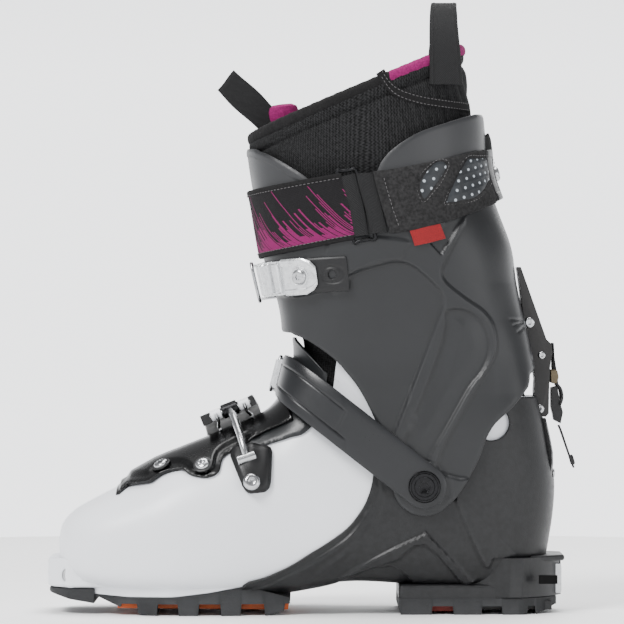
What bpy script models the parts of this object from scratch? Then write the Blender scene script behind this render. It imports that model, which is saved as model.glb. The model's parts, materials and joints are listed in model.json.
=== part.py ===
"""A ski-touring boot for the right foot, as an assembly of separate sub-parts.

The toe points along -X, the inner (near) side of the foot along -Y and the leg along +Z. The origin lies on
the ground, on the tread under the ankle pivots. Lengths below are in millimetres and angles in radians;
make_object turns millimetres into Blender's metres.
"""

import math

import bmesh
import bpy
import numpy as np

MM = 0.001
GAP = 0.35                  # between neighbouring pieces

# Driving dimensions
SHELL_WALL = 3.0            # lower shell
FRAME_SKIN = 2.3            # heel frame, measured from the lower shell's outer face
CUFF_WALL = 3.0
LINER_WALL = 6.5
PIVOT_Z = 70.0              # height of the ankle pivots
BAND_RADIUS = 96.2          # ankle pivot to the inner face of the instep band, at its front
BAND_ANGLE = math.radians(38)
BAND_HALF_SPAN = 47.4       # centre plane to the band's inner face, at the pivots
BAND_WALL = 2.6
SOLE_REAR_X = 75.9
SOLE_FRONT_X = -204.6
TOE_FITTING_X = -191.2     # the pin sockets at the toe
LEDGE_TOP_Z = 30.6          # binding ledges at toe and heel
TREAD_TOP_Z = 8.9           # the heel rubber's flat top
LEVER_PIVOT = (58.5, 158.2)
LOCK_BOLT = (64.2, 111.0)

# Sections of the lower shell's outer face, from toe tip to throat: back-bottom x, z, front-top x, z,
# near and far half-widths
FOOT_ROWS = (
    (-198.8, 31, -198.8, 43, 10, 10), (-196.8, 23, -196.8, 49, 24, 22), (-191, 19, -191, 55.3, 33, 30),
    (-180, 15, -180, 61.8, 41, 38), (-160, 12, -160, 72, 47, 45), (-135, 10.5, -137, 84.2, 51, 51),
    (-105, 10.5, -110, 95.6, 50, 54), (-75, 13, -83.5, 107.4, 46, 51), (-40, 18, -72.5, 122, 43, 45),
    (0, 16, -69.3, 135, 40.5, 40.8), (38, 14, -69.3, 148, 40, 40), (60, 22, -73, 158, 39.5, 39.5),
    (67, 45, -76, 167, 39.5, 39.5), (69.3, 73, -80, 177, 39.5, 39.5), (66, 99, -84, 185, 39.5, 39.5),
    (60, 124, -88, 194, 39.5, 39.5),
)
FOOT_BELLY = ((0, 0.5), (4, 0.42), (8, 0.42), (12, 0.5))
FOOT_POWER_LOW = ((0, 2.6), (4, 4.5), (9, 4.5), (11, 2.8))
FOOT_POWER_TOP = ((0, 2.4), (8, 2.4), (11, 2.6))

# The cuff's outer face: one level section every 20 mm from z = 60: rear x, front x, half-width
CUFF_FIRST_Z, CUFF_STEP_Z = 60.0, 20.0
CUFF_SECTIONS = (
    (66, -70, 46.6), (66, -73, 46.6), (65, -76, 46.6), (63, -78, 45.8), (60, -79, 45.2), (56.3, -79.7, 46.8),
    (53.6, -84, 48.8), (50.7, -88.5, 50), (43.5, -92, 50), (36.5, -95.5, 50), (35, -98, 49.5),
    (33, -100, 49),
)
CUFF_POWER = ((0, 6), (2, 6), (3, 4.6), (4, 4), (5, 3.4), (6, 3), (7, 2.8), (8, 2.6))

# The liner's outer face, from toe to collar, in the same form as the lower shell's
LINER_ROWS = (
    (-184, 24, -184, 52, 22, 20), (-175, 20, -175, 58.5, 33, 31), (-158, 17, -158, 68, 42, 40),
    (-135, 15, -137, 79, 46, 46), (-105, 15, -109, 90.5, 45, 48.5), (-75, 17.5, -82, 102, 41, 46),
    (-40, 22, -69.5, 118, 38, 40.5), (0, 20.5, -65.3, 134.5, 36, 36.2), (36, 19.5, -65.3, 147.5, 35, 35),
    (54.5, 27.5, -68.8, 157, 34.8, 34.8), (62.5, 47, -71.8, 166, 35.2, 35.2),
    (64.8, 74, -75, 176, 35.2, 35.2),
    (61.5, 100, -78, 187, 35.5, 35.5), (54, 127, -81, 199, 38.5, 38.5), (46, 155, -84, 211, 41.5, 41.5),
    (39, 190, -87.5, 224, 43.2, 43.2), (33, 225, -91, 237, 43.8, 43.8), (27, 262, -93.2, 249, 45.5, 45.5),
    (22, 309, -94.4, 259, 46.5, 46.5),
)
LINER_BELLY = ((0, 0.5), (3, 0.42), (7, 0.42), (11, 0.5))
LINER_POWER_LOW = ((0, 2.4), (4, 3.4), (9, 3.2), (12, 2.5))
LINER_POWER_TOP = ((0, 2.2), (8, 2.2), (12, 2.5))


# ---------------------------------------------------------------- shapes

def through(rows, position):
    """Rows of numbers read at any position along them, on a smooth curve through every row."""
    rows = np.asarray(rows, float)
    last = len(rows) - 1
    start = np.clip(np.floor(position).astype(int), 0, last - 1)
    part = (np.asarray(position, float) - start)[..., None]
    before, first = rows[np.maximum(start - 1, 0)], rows[start]
    second, after = rows[start + 1], rows[np.minimum(start + 2, last)]
    bend = 2 * before - 5 * first + 4 * second - after
    cubic = 3 * first - before - 3 * second + after
    return first + 0.5 * part * (second - before + part * (bend + part * cubic))


def signed_power(value, power):
    return np.sign(value) * np.abs(value) ** power


def unit(vectors):
    vectors = np.asarray(vectors, float)
    return vectors / np.linalg.norm(vectors, axis=-1, keepdims=True)


class Limb:
    """A surface lofted through rounded sections, fanned like the leaves of a book where the foot turns."""

    def __init__(self, rows, belly, power_low, power_top):
        self.rows = rows
        self.belly = np.array(belly, float).T
        self.power_low = np.array(power_low, float).T
        self.power_top = np.array(power_top, float).T

    def section(self, along, around):
        """The point, the section's own outward direction, and its tangent."""
        back_x, back_z, front_x, front_z, near, far = np.moveaxis(through(self.rows, along), -1, 0)
        low, high = np.cos(around) > 0, np.cos(around) <= 0
        belly = np.interp(along, *self.belly)
        power = np.where(low, np.interp(along, *self.power_low), np.interp(along, *self.power_top))
        rise = np.stack([front_x - back_x, 0 * back_x, front_z - back_z], -1)
        length = np.linalg.norm(rise, axis=-1)
        rise = rise / length[..., None]
        across = np.array((0.0, 1.0, 0.0))
        reach = np.where(high, 1 - belly, belly) * length
        width = np.where(np.sin(around) > 0, near, far)
        upward = -reach * signed_power(np.cos(around), 2 / power)
        sideways = -width * signed_power(np.sin(around), 2 / power)
        back = np.stack([back_x, 0 * back_x, back_z], -1)
        centre = back + rise * (belly * length)[..., None]
        point = centre + rise * upward[..., None] + across * sideways[..., None]
        slope_up = signed_power(upward / reach, power - 1) / reach
        slope_side = signed_power(sideways / width, power - 1) / width
        outward = rise * slope_up[..., None] + across * slope_side[..., None]
        tangent = across * slope_up[..., None] - rise * slope_side[..., None]
        return point, outward, tangent

    def at(self, along, around):
        """Points and outward unit normals."""
        along, around = np.broadcast_arrays(np.asarray(along, float), np.asarray(around, float))
        point, outward, tangent = self.section(along, around)
        step = 0.02
        ahead = self.section(along + step, around)[0] - self.section(along - step, around)[0]
        normal = unit(np.cross(tangent, ahead))
        return point, normal * np.sign((normal * outward).sum(-1, keepdims=True))


def cuff_rows():
    return [(rear, CUFF_FIRST_Z + i * CUFF_STEP_Z, front, CUFF_FIRST_Z + i * CUFF_STEP_Z, half, half)
            for i, (rear, front, half) in enumerate(CUFF_SECTIONS)]


FOOT = Limb(FOOT_ROWS, FOOT_BELLY, FOOT_POWER_LOW, FOOT_POWER_TOP)
CUFF = Limb(cuff_rows(), ((0, 0.5), (1, 0.5)), CUFF_POWER, CUFF_POWER)
LINER = Limb(LINER_ROWS, LINER_BELLY, LINER_POWER_LOW, LINER_POWER_TOP)


def cuff_at(height, around):
    return CUFF.at((np.asarray(height, float) - CUFF_FIRST_Z) / CUFF_STEP_Z, around)


# ---------------------------------------------------------------- objects

def material(name, colour, roughness, metallic=0.0):
    made = bpy.data.materials.new(name)
    made.use_nodes = True
    shader = made.node_tree.nodes["Principled BSDF"]
    shader.inputs["Base Color"].default_value = (*colour, 1)
    shader.inputs["Roughness"].default_value = roughness
    shader.inputs["Metallic"].default_value = metallic
    return made


def make_object(name, points, faces, look=None):
    """One closed mesh, with its faces turned outward and its round sides shaded smooth."""
    mesh = bpy.data.meshes.new(name)
    mesh.from_pydata((np.asarray(points, float) * MM).tolist(), [], [list(map(int, face)) for face in faces])
    turned_out = bmesh.new()
    turned_out.from_mesh(mesh)
    bmesh.ops.recalc_face_normals(turned_out, faces=turned_out.faces)
    turned_out.to_mesh(mesh)
    turned_out.free()
    mesh.shade_smooth()
    mesh.set_sharp_from_angle(angle=math.radians(35))
    made = bpy.data.objects.new(name, mesh)
    bpy.context.collection.objects.link(made)
    if look:
        mesh.materials.append(look)
    else:
        made.hide_render = True
        made.display_type = "WIRE"
    return made


def boolean(target, cutter, operation):
    change = target.modifiers.new(cutter.name, "BOOLEAN")
    change.operation = operation
    change.object = cutter


def cut(target, *cutters):
    for cutter in cutters:
        boolean(target, cutter, "DIFFERENCE")


def keep(target, cutter):
    boolean(target, cutter, "INTERSECT")


def join(target, *others):
    for other in others:
        other.hide_render = True
        other.display_type = "WIRE"
        boolean(target, other, "UNION")


def patch(name, surface, rows, columns, inner, outer, look=None, wrap=False, capped=False):
    """A plate of a given thickness that lies on a surface: rows run along it, columns around it.

    A wrapped patch is a tube, and a capped one is closed across its first row.
    """
    along, around = np.meshgrid(rows, columns, indexing="ij")
    point, normal = surface(along, around)
    out = point + normal * np.broadcast_to(outer, along.shape)[..., None]
    into = point + normal * np.broadcast_to(inner, along.shape)[..., None]
    tall, wide = along.shape
    index = np.arange(tall * wide).reshape(tall, wide)
    under = index + tall * wide
    faces = []
    steps = wide if wrap else wide - 1
    for i in range(tall - 1):
        for j in range(steps):
            k = (j + 1) % wide
            faces.append((index[i, j], index[i + 1, j], index[i + 1, k], index[i, k]))
            faces.append((under[i, j], under[i, k], under[i + 1, k], under[i + 1, j]))
    for i in (0, tall - 1):
        if capped and i == 0:
            faces += [tuple(index[0]), tuple(under[0][::-1])]
            continue
        for j in range(steps):
            k = (j + 1) % wide
            faces.append((index[i, j], index[i, k], under[i, k], under[i, j]))
    if not wrap:
        for j in (0, wide - 1):
            for i in range(tall - 1):
                faces.append((index[i, j], under[i, j], under[i + 1, j], index[i + 1, j]))
    points = np.concatenate([out.reshape(-1, 3), into.reshape(-1, 3)])
    return make_object(name, points, faces, look)


def filled(name, surface, rows, columns, offset):
    """A wrapped surface closed at both ends, as a cutter."""
    along, around = np.meshgrid(rows, columns, indexing="ij")
    point, normal = surface(along, around)
    point = point + normal * offset
    tall, wide = along.shape
    index = np.arange(tall * wide).reshape(tall, wide)
    faces = [tuple(index[0]), tuple(index[-1])]
    for i in range(tall - 1):
        for j in range(wide):
            k = (j + 1) % wide
            faces.append((index[i, j], index[i + 1, j], index[i + 1, k], index[i, k]))
    return make_object(name, point.reshape(-1, 3), faces)


def prism(name, outline, low, high, direction="Y", look=None):
    """An outline pushed along an axis: (x, z) points along Y, or (x, y) points along Z."""
    points = []
    for level in (low, high):
        for first, second in outline:
            points.append((first, level, second) if direction == "Y" else (first, second, level))
    count = len(outline)
    faces = [tuple(range(count)), tuple(range(count, 2 * count))]
    faces += [(i, (i + 1) % count, (i + 1) % count + count, i + count) for i in range(count)]
    return make_object(name, points, faces, look)


def smooth_outline(points, steps=3):
    """A closed outline through the points, rounded by a few steps between each two."""
    ring = [points[-1], *points, points[0], points[1]]
    stations = 1 + np.arange(len(points) * steps) / steps
    return [tuple(point) for point in through(ring, stations)]


def axes_of(axis, hint=(0, 0, 1)):
    """Two unit vectors that make a frame with the axis."""
    axis = unit(axis)
    if abs(np.dot(axis, hint)) > 0.95:
        hint = (1, 0, 0)
    side = unit(np.cross(axis, hint))
    return side, np.cross(axis, side)


def turned(name, profile, at, axis, look=None, sides=16, ring=False):
    """A profile of (radius, height) points turned about an axis; a ring's profile closes on itself."""
    axis = unit(axis)
    side, up = axes_of(axis)
    at = np.asarray(at, float)
    points, rows = [], []
    for radius, height in profile:
        start = len(points)
        count = 1 if radius == 0 else sides
        rows.append([start + i % count for i in range(sides)])
        for i in range(count):
            turn = 2 * math.pi * i / sides
            spoke = side * math.cos(turn) + up * math.sin(turn)
            points.append(at + axis * height + spoke * radius)
    faces = []
    pairs = list(zip(rows, rows[1:]))
    if ring:
        pairs.append((rows[-1], rows[0]))
    for lower, upper in pairs:
        for i in range(sides):
            k = (i + 1) % sides
            face = dict.fromkeys((lower[i], lower[k], upper[k], upper[i]))
            if len(face) > 2:
                faces.append(tuple(face))
    return make_object(name, points, faces, look)


def rod(name, start, end, radius, look=None, sides=14):
    start, end = np.asarray(start, float), np.asarray(end, float)
    length = float(np.linalg.norm(end - start))
    return turned(name, ((0, 0), (radius, 0), (radius, length), (0, length)), start, end - start, look, sides)


def bore(name, start, end, radius):
    return rod(name, start, end, radius, None, 14)


def screw(name, at, axis, look, head=4.0, height=2.2, shank=2.0, depth=6.0):
    """A socket-head screw whose head stands on the point and whose shank goes back from it."""
    socket = head * 0.42
    profile = ((0, -depth), (shank, -depth), (shank, 0), (head, 0), (head, height * 0.6),
               (head * 0.8, height), (socket, height), (socket * 0.9, height * 0.35), (0, height * 0.3))
    return turned(name, profile, at, axis, look, 12)


def tube(name, path, radius, look, sides=8, closed=False):
    """A round wire along a path."""
    path = np.asarray(path, float)
    count = len(path)
    ahead = np.roll(path, -1, 0) - np.roll(path, 1, 0)
    if not closed:
        ahead[0], ahead[-1] = path[1] - path[0], path[-1] - path[-2]
    ahead = unit(ahead)
    side = axes_of(ahead[0])[0]
    points = []
    for i in range(count):
        side = unit(side - ahead[i] * np.dot(side, ahead[i]))
        up = np.cross(ahead[i], side)
        for j in range(sides):
            turn = 2 * math.pi * j / sides
            points.append(path[i] + radius * (side * math.cos(turn) + up * math.sin(turn)))
    faces = []
    for i in range(count if closed else count - 1):
        for j in range(sides):
            k = (j + 1) % sides
            one, other = i * sides, (i + 1) % count * sides
            faces.append((one + j, one + k, other + k, other + j))
    if not closed:
        faces += [tuple(range(sides)), tuple(range((count - 1) * sides, count * sides))]
    return make_object(name, points, faces, look)


def block(name, centre, along, normal, size, look=None):
    """A box with its first side along one direction and its second along a normal."""
    along, normal = unit(along), unit(normal)
    across = np.cross(normal, along)
    corners = []
    for i in (-1, 1):
        for j in (-1, 1):
            for k in (-1, 1):
                corners.append(np.asarray(centre, float) + along * i * size[0] / 2
                               + normal * j * size[1] / 2 + across * k * size[2] / 2)
    faces = ((0, 1, 3, 2), (4, 6, 7, 5), (0, 4, 5, 1), (2, 3, 7, 6), (0, 2, 6, 4), (1, 5, 7, 3))
    return make_object(name, corners, faces, look)


# ---------------------------------------------------------------- materials

WHITE = material("white_shell", (0.80, 0.81, 0.84), 0.35)
DARK = material("dark_shell", (0.060, 0.062, 0.066), 0.5)
FRAME = material("fibre_frame", (0.045, 0.045, 0.047), 0.55)
GLOSS = material("gloss_black", (0.010, 0.010, 0.011), 0.2)
RUBBER = material("tread_rubber", (0.035, 0.036, 0.038), 0.8)
ORANGE = material("sole_core", (0.70, 0.16, 0.03), 0.6)
STEEL = material("steel", (0.70, 0.71, 0.72), 0.28, 1.0)
SILVER = material("silver_buckle", (0.78, 0.79, 0.81), 0.35, 0.8)
BLACK = material("black_plastic", (0.020, 0.020, 0.021), 0.45)
KNIT = material("liner_knit", (0.030, 0.030, 0.032), 0.9)
WEBBING = material("webbing", (0.022, 0.022, 0.023), 0.85)
RED = material("red_label", (0.70, 0.02, 0.03), 0.5)

NEAR, FAR = -1.0, 1.0
RING = np.linspace(0, 2 * math.pi, 24, endpoint=False)
SHELL_ROWS = np.linspace(0, 15, 20)


def around_toe(half_at, front_x, rear_x, steps=8):
    """A plan outline with straight sides that curve in to a rounded toe; half_at gives half-widths."""
    stations = rear_x + (front_x - rear_x) * np.sin(np.linspace(0, math.pi / 2, steps + 1))
    near = [(x, -half_at(x)) for x in stations[:-1]]
    far = [(x, half_at(x)) for x in stations[:-1][::-1]]
    return near + [(front_x, -half_at(front_x)), (front_x, half_at(front_x))] + far


# ---------------------------------------------------------------- lower shell, frame and sole

def lower_shell():
    shell = filled("lower_shell", FOOT.at, SHELL_ROWS, RING, 0.0)
    shell.data.materials.append(WHITE)
    shell.hide_render = False
    shell.display_type = "TEXTURED"

    def half(x):
        return 14 + 17.5 * math.sqrt(max(0.0, min(1.0, (x - SOLE_FRONT_X) / 12)))

    outline = around_toe(half, SOLE_FRONT_X, -172.0)
    join(shell, prism("toe_welt", outline, 14.5, LEDGE_TOP_Z, "Z"))
    hollow = filled("shell_hollow", FOOT.at, SHELL_ROWS[1:], RING, -SHELL_WALL)
    throat = ((-96, 240), (-96, 100), (-62, 101), (-50, 112), (-46, 146), (-18, 146), (12, 132), (50, 118),
              (100, 116), (100, 240))
    cut(shell, hollow, prism("shell_throat", throat, -90, 90), bore("toe_bore", (TOE_FITTING_X, -60, 21.2),
                                                                    (TOE_FITTING_X, 60, 21.2), 4.7))
    cut(shell, *pivot_bores(), block("rear_notch", (66, 0, 117), (1, 0, 0), (0, 0, 1), (40, 44, 23.4)))


def pivot_bores():
    """Holes for the ankle bolts, one on each side."""
    return [bore(f"pivot_bore_{name}", (0, side * 30, PIVOT_Z), (0, side * 60, PIVOT_Z), 4.4)
            for name, side in (("near", NEAR), ("far", FAR))]


def heel_frame():
    """The dark fibre-filled frame that holds the heel, carries the pivots and runs forward under the foot."""
    frame = filled("heel_frame", FOOT.at, SHELL_ROWS[5:], RING, FRAME_SKIN)
    frame.data.materials.append(FRAME)
    frame.hide_render = False
    frame.display_type = "TEXTURED"
    outline = ((-99.5, 5), (-97.7, 16.4), (-86, 20.8), (-72.2, 27), (-62, 33.2), (-51.7, 39.4), (-41.3, 47),
               (-34.5, 55.2), (-30.3, 62.7), (-27.3, 72.7), (-26, 86), (-21, 101), (-8, 112), (12, 117),
               (90, 117), (90, 5))
    keep(frame, prism("frame_outline", outline, -80, 80))

    def half(x):
        return 34.5 * min(1.0, math.sqrt(max(0.03, (SOLE_REAR_X - x) / 22)))

    stations = (-14, 20, 50, 60, 66, 70, 73, SOLE_REAR_X)
    plan = [(x, -half(x)) for x in stations] + [(x, half(x)) for x in reversed(stations)]
    join(frame, prism("heel_block", plan, TREAD_TOP_Z + GAP, LEDGE_TOP_Z, "Z"))
    cut(frame, filled("frame_hollow", FOOT.at, SHELL_ROWS[4:], RING, GAP + 0.15))
    cut(frame, turned("frame_window", ((0, 0), (10, 0), (10, 160), (0, 160)), (36, -80, 104), (0, 1, 0)))
    cut(frame, block("fitting_pocket", (75.5, 0, 18.4), (1, 0, 0), (0, 0, 1), (7.4, 17.6, 27)))
    cut(frame, bore("fitting_bore", (60, 0, 18.4), (80, 0, 18.4), 2.4))
    cut(frame, *pivot_bores())
    cut(frame, block("catch_seat", (72, 0, 96.5), (1, 0, 0), (0, 0, 1), (30, 52.0, 33.6)))


def lugs(lug_ranges, base_top, tread_depth, slopes):
    """A side outline of the tread: a base with lugs below it."""
    outline = []
    for (start, end), (start_z, end_z) in zip(lug_ranges, slopes):
        outline += [(start, tread_depth), (start + 0.6, start_z), (end - 0.6, end_z), (end, tread_depth)]
    first, last = lug_ranges[0][0], lug_ranges[-1][1]
    outline = [(first, base_top), *outline, (last, base_top)]
    return outline


def outsole_front():
    ranges = ((-176.5, -163.4), (-155, -143.7), (-133, -121.4), (-110, -98.5), (-86.5, -75))
    slopes = ((9.5, 4.4), (0.9, 0), (0, 0), (0, 0), (0, 2.4))
    outline = lugs(ranges, 14, 6.3, slopes)
    outline = outline[:-1] + [(-72.5, 6.4), (-72.5, 7.4), (-99.9, 7.4), (-99.9, 14)]
    sole = prism("outsole_front", outline, -60, 60, "Y", RUBBER)

    def half(x):
        return float(np.interp(x, (-178, -170, -160, -140, -110, -85, -70), (27, 33, 38, 43, 43, 40, 36)))

    stations = (-178, -170, -160, -140, -110, -85, -70)
    plan = [(x, -half(x)) for x in stations] + [(x, half(x) + 2) for x in reversed(stations)]
    keep(sole, prism("front_plan", plan, -5, 30, "Z"))
    cut(sole, filled("sole_seat", FOOT.at, SHELL_ROWS[2:13], RING, GAP))
    cut(sole, block("core_seat", (-120, 0, 8.5), (1, 0, 0), (0, 0, 1), (100, 6, 30)))


def outsole_heel():
    ranges = ((-13, 4.8), (15.8, 31.8), (42.2, 56.7), (60.5, 73.0))
    slopes = ((0, 0), (0, 0), (0, 0), (0, 4.6))
    outline = lugs(ranges, TREAD_TOP_Z, 4.6, slopes)
    sole = prism("outsole_heel", outline, -60, 60, "Y", RUBBER)

    def half(x):
        return 33.5 * min(1.0, math.sqrt(max(0.05, (75.5 - x) / 22)))

    stations = (-14, 20, 50, 60, 66, 70, 74)
    plan = [(x, -half(x)) for x in stations] + [(x, half(x)) for x in reversed(stations)]
    keep(sole, prism("heel_plan", plan, -5, 30, "Z"))


def sole_core():
    """A bright core strip set into the front tread, seen between its lugs."""
    core = prism("sole_core", ((-168, 6.9), (-168, 8.0), (-74, 8.0), (-74, 6.9)), -14.6, 14.6, "Y", ORANGE)
    return core


def toe_bumper():
    def half(x):
        return 13 + 17 * math.sqrt(max(0.0, min(1.0, (x + 203.8) / 12)))

    outline = around_toe(half, -203.8, -178.5)
    bumper = prism("toe_bumper", outline, 5.5, 14.5 - GAP, "Z", RUBBER)
    under = ((-206, 4), (-203.8, 11.5), (-192, 8.2), (-177, 5.6), (-177, 4))
    cut(bumper, prism("bumper_under", under, -60, 60))
    cut(bumper, filled("bumper_seat", FOOT.at, SHELL_ROWS[:8], RING, GAP))


def toe_fitting():
    """A steel bar across the toe with a cone socket in each end, for a pin binding."""
    profile = ((0, 27), (3.4, 29.8), (4.3, 29.8), (4.3, -29.8), (3.4, -29.8), (0, -27))
    turned("toe_fitting", profile[::-1], (TOE_FITTING_X, 0, 21.2), (0, 1, 0), STEEL, 16)


def heel_fitting():
    plate = prism("heel_fitting", ((72.2, 10.2), (72.2, 26.8), (75.6, 26.8), (75.9, 24), (75.9, 12.4),
                                   (75.6, 10.2)), -13, 13, "Y", STEEL)
    for side in (NEAR, FAR):
        cut(plate, block(f"pin_slot_{side:+.0f}", (76, side * 9, 19), (1, 0, 0), (0, 0, 1), (4.8, 20, 3.2)))
    cut(plate, bore("heel_screw_bore", (70, 0, 18.4), (80, 0, 18.4), 2.4))
    cut(plate, bore("heel_screw_seat", (74, 0, 18.4), (80, 0, 18.4), 4.2))
    screw("heel_fitting_screw", (74.2, 0, 18.4), (1, 0, 0), STEEL, head=3.8, height=1.6, shank=2.0, depth=12)


# ---------------------------------------------------------------- tongue and toe buckle

TOE_STATION, TOE_PITCH = 6.33, 26.5       # the toe buckle's place along the foot, and millimetres a section
TOE_SLANT = 0.19                          # sections that it moves rearward for each radian down the near side
TOE_AXLE_TURN, TOE_AXLE_LIFT = 2.95, 13.3
TOE_HINGE_TURN, TOE_HINGE_LIFT = 2.21, 4.4


def toe_strip(around, across):
    slant = TOE_SLANT * np.maximum(TOE_AXLE_TURN - np.asarray(around, float), 0.0)
    return FOOT.at(TOE_STATION + slant + np.asarray(across, float) / TOE_PITCH, around)


def spot(surface, along, across, lift):
    """A point above a surface, its normal, and the direction across the strip."""
    point, normal = surface(along, across)
    over = unit(surface(along, across + 1.0)[0] - surface(along, across - 1.0)[0])
    return point + normal * lift, normal, over


def tongue_plate():
    plate = patch("tongue_plate", FOOT.at, np.linspace(3.7, 6.78, 10), np.linspace(-1.25, 1.25, 11) + math.pi,
                  0.75, 3.8, GLOSS)
    outline = smooth_outline(((-167, 69.2), (-160, 69.2), (-153, 70.2), (-147, 71.4), (-141.5, 75.4),
                              (-135.5, 77.4), (-130, 78), (-125.4, 75.7), (-117.1, 74.4), (-112, 77.5),
                              (-110, 91), (-88, 97), (-88, 130), (-150, 130)), 2)
    keep(plate, prism("plate_outline", outline, -60, 60))
    for name, station, around in (("front", 4.84, 2.64), ("rear", 5.66, 2.33)):
        at, normal, _ = spot(FOOT.at, station, around, 3.9)
        cut(plate, bore(f"plate_bore_{name}", at - normal * 8, at + normal * 3, 2.35))
        screw(f"tongue_plate_screw_{name}", at, normal, STEEL, head=3.9, height=2.0, shank=2.0, depth=3.4)


def tongue_lower():
    patch("tongue_lower", FOOT.at, np.linspace(6.9, 10.2, 10), np.linspace(-0.98, 0.98, 11) + math.pi,
          0.75, 2.0, DARK)


def toe_anchor():
    rows = np.linspace(1.78, 2.29, 6)

    def surface(around, part):
        width = 6.2 + 3.2 * (np.asarray(around) - 1.78) / 0.51
        return toe_strip(around, part * width)

    anchor = patch("toe_anchor", surface, rows, np.linspace(-1, 1, 5), 0.4, 5.0, BLACK)
    hinge, normal, over = spot(toe_strip, TOE_HINGE_TURN, 0.0, TOE_HINGE_LIFT)
    cut(anchor, bore("anchor_bore", hinge - over * 14, hinge + over * 14, 1.75))
    cut(anchor, block("anchor_slot", hinge, over, normal, (12.4, 20, 11)))
    at, normal, _ = spot(toe_strip, 1.93, 0.0, 5.3)
    cut(anchor, bore("anchor_screw_bore", at - normal * 9, at + normal * 3, 2.3))
    screw("toe_anchor_screw", at, normal, STEEL, head=4.6, height=2.2, shank=1.9, depth=4.6)


def toe_rod():
    """The rod from the anchor over the instep to the lever's axle."""
    hinge, _, over = spot(toe_strip, TOE_HINGE_TURN, 0.0, TOE_HINGE_LIFT)
    axle, _, axle_over = spot(toe_strip, TOE_AXLE_TURN, 0.0, TOE_AXLE_LIFT)
    turns = np.linspace(TOE_HINGE_TURN, TOE_AXLE_TURN - 0.05, 7)
    path = [spot(toe_strip, turn, 0.0, lift)[0]
            for turn, lift in zip(turns, np.interp(turns, (2.21, 2.36, 2.95), (4.4, 7.6, TOE_AXLE_LIFT)))]
    made = tube("toe_rod", path, 2.0, STEEL, 8)
    barrel = ((0, -8.2), (1.35, -8.2), (1.35, -5.2), (2.7, -5.2), (2.7, 5.2), (1.35, 5.2), (1.35, 8.2),
              (0, 8.2))
    join(made, turned("rod_barrel", barrel, hinge, over, None, 14),
         rod("rod_head", axle - axle_over * 4.6, axle + axle_over * 4.6, 3.9))
    cut(made, bore("rod_head_bore", axle - axle_over * 8, axle + axle_over * 8, 1.8))


def toe_lever():
    axle, normal, over = spot(toe_strip, TOE_AXLE_TURN, 0.0, TOE_AXLE_LIFT)
    rows = np.linspace(TOE_AXLE_TURN - 0.035, math.pi + 0.62, 9)
    inner = np.interp(rows, (2.9, 3.3, 3.8), (10.4, 8.4, 7.1))[:, None]
    outer = np.interp(rows, (2.9, 3.3, 3.8), (16.2, 13.4, 10.2))[:, None]
    lever = patch("toe_lever", toe_strip, rows, np.linspace(-14.6, 14.6, 5), inner, outer, BLACK)
    ahead = np.cross(normal, over)
    ahead = ahead * np.sign(ahead[1])
    cut(lever, block("lever_fork", axle + ahead * 1.2, over, normal, (23.4, 20, 15.6)))
    cut(lever, bore("lever_axle_bore", axle - over * 18, axle + over * 18, 1.75))
    rod("toe_axle", axle - over * 14.3, axle + over * 14.3, 1.4, STEEL, 12)
    ring = ((1.75, -3.1), (2.7, -3.1), (2.7, 3.1), (1.75, 3.1))
    for name, side in (("front", -1), ("rear", 1)):
        turned(f"toe_roller_{name}", ring, axle + over * side * 8.2, over, WHITE, 14, True)
    return axle, normal, over, ahead


def toe_bail():
    """A wire that hooks under both rollers and reaches over the instep to the far ladder."""
    axle, normal, over, ahead = toe_lever()
    reach = 2.7 + GAP + 1.0
    path = []
    hook = [axle + reach * (ahead * math.cos(turn) + normal * math.sin(turn))
            for turn in np.radians((165, 200, 235, 265))]
    turns = np.linspace(TOE_AXLE_TURN + 0.12, math.pi + 0.98, 9)
    for side in (-1, 1):
        arm = [point + over * side * 8.2 for point in hook]
        arm += [spot(toe_strip, turn, side * 8.2, 5.55)[0] for turn in turns]
        path += arm if side < 0 else arm[::-1]
    tube("toe_bail", path, 0.9, STEEL, 6)


def ladder(name, surface, start, end, half, teeth, look):
    """A toothed plate: ridges across it at an even pitch from start towards end."""
    rows = np.linspace(start, end, 6)
    plate = patch(name, surface, rows, np.linspace(-half, half, 3), 0.4, 2.4, look)
    for i in range(teeth):
        at = start + (end - start) * (i + 0.5) / teeth
        width = abs(end - start) / teeth * 0.22
        join(plate, patch(f"{name}_tooth_{i}", surface, (at - width, at + width), (-half + 0.6, half - 0.6),
                          1.6, 4.1))
    return plate


# ---------------------------------------------------------------- instep band

def band_strip(around, across):
    """The band's inner face; around runs from the near pivot over the instep to the far one."""
    around, across = np.broadcast_arrays(np.asarray(around, float), np.asarray(across, float))
    forward = BAND_RADIUS * signed_power(np.cos(around), 2 / 3.8)
    sideways = BAND_HALF_SPAN * signed_power(np.sin(around), 2 / 3.8)
    lean = np.radians(38 - 24 * np.clip(np.cos(around), 0, 1) ** 3)
    x = -forward * math.cos(BAND_ANGLE) + across * np.sin(lean)
    z = PIVOT_Z + forward * math.sin(BAND_ANGLE) + across * np.cos(lean)
    return np.stack([x, sideways, z], -1)


def band_at(around, across):
    along, over = np.broadcast_arrays(np.asarray(around, float), np.asarray(across, float))
    step = 0.004
    one = band_strip(along + step, over) - band_strip(along - step, over)
    other = band_strip(along, over + 1) - band_strip(along, over - 1)
    return band_strip(along, over), unit(np.cross(other, one))


def band_taper(around, part):
    half = np.interp(np.abs(around), (0, 0.9, 1.57), (10.4, 12.9, 11.2))
    return band_at(around, part * half)


def even_turns(start, end, count):
    """Angles whose steps are about even along the band."""
    fine = np.linspace(start, end, 400)
    run = np.r_[0, np.cumsum(np.linalg.norm(np.diff(band_strip(fine, 0 * fine), axis=0), axis=1))]
    return np.interp(np.linspace(0, run[-1], count), run, fine)


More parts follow.
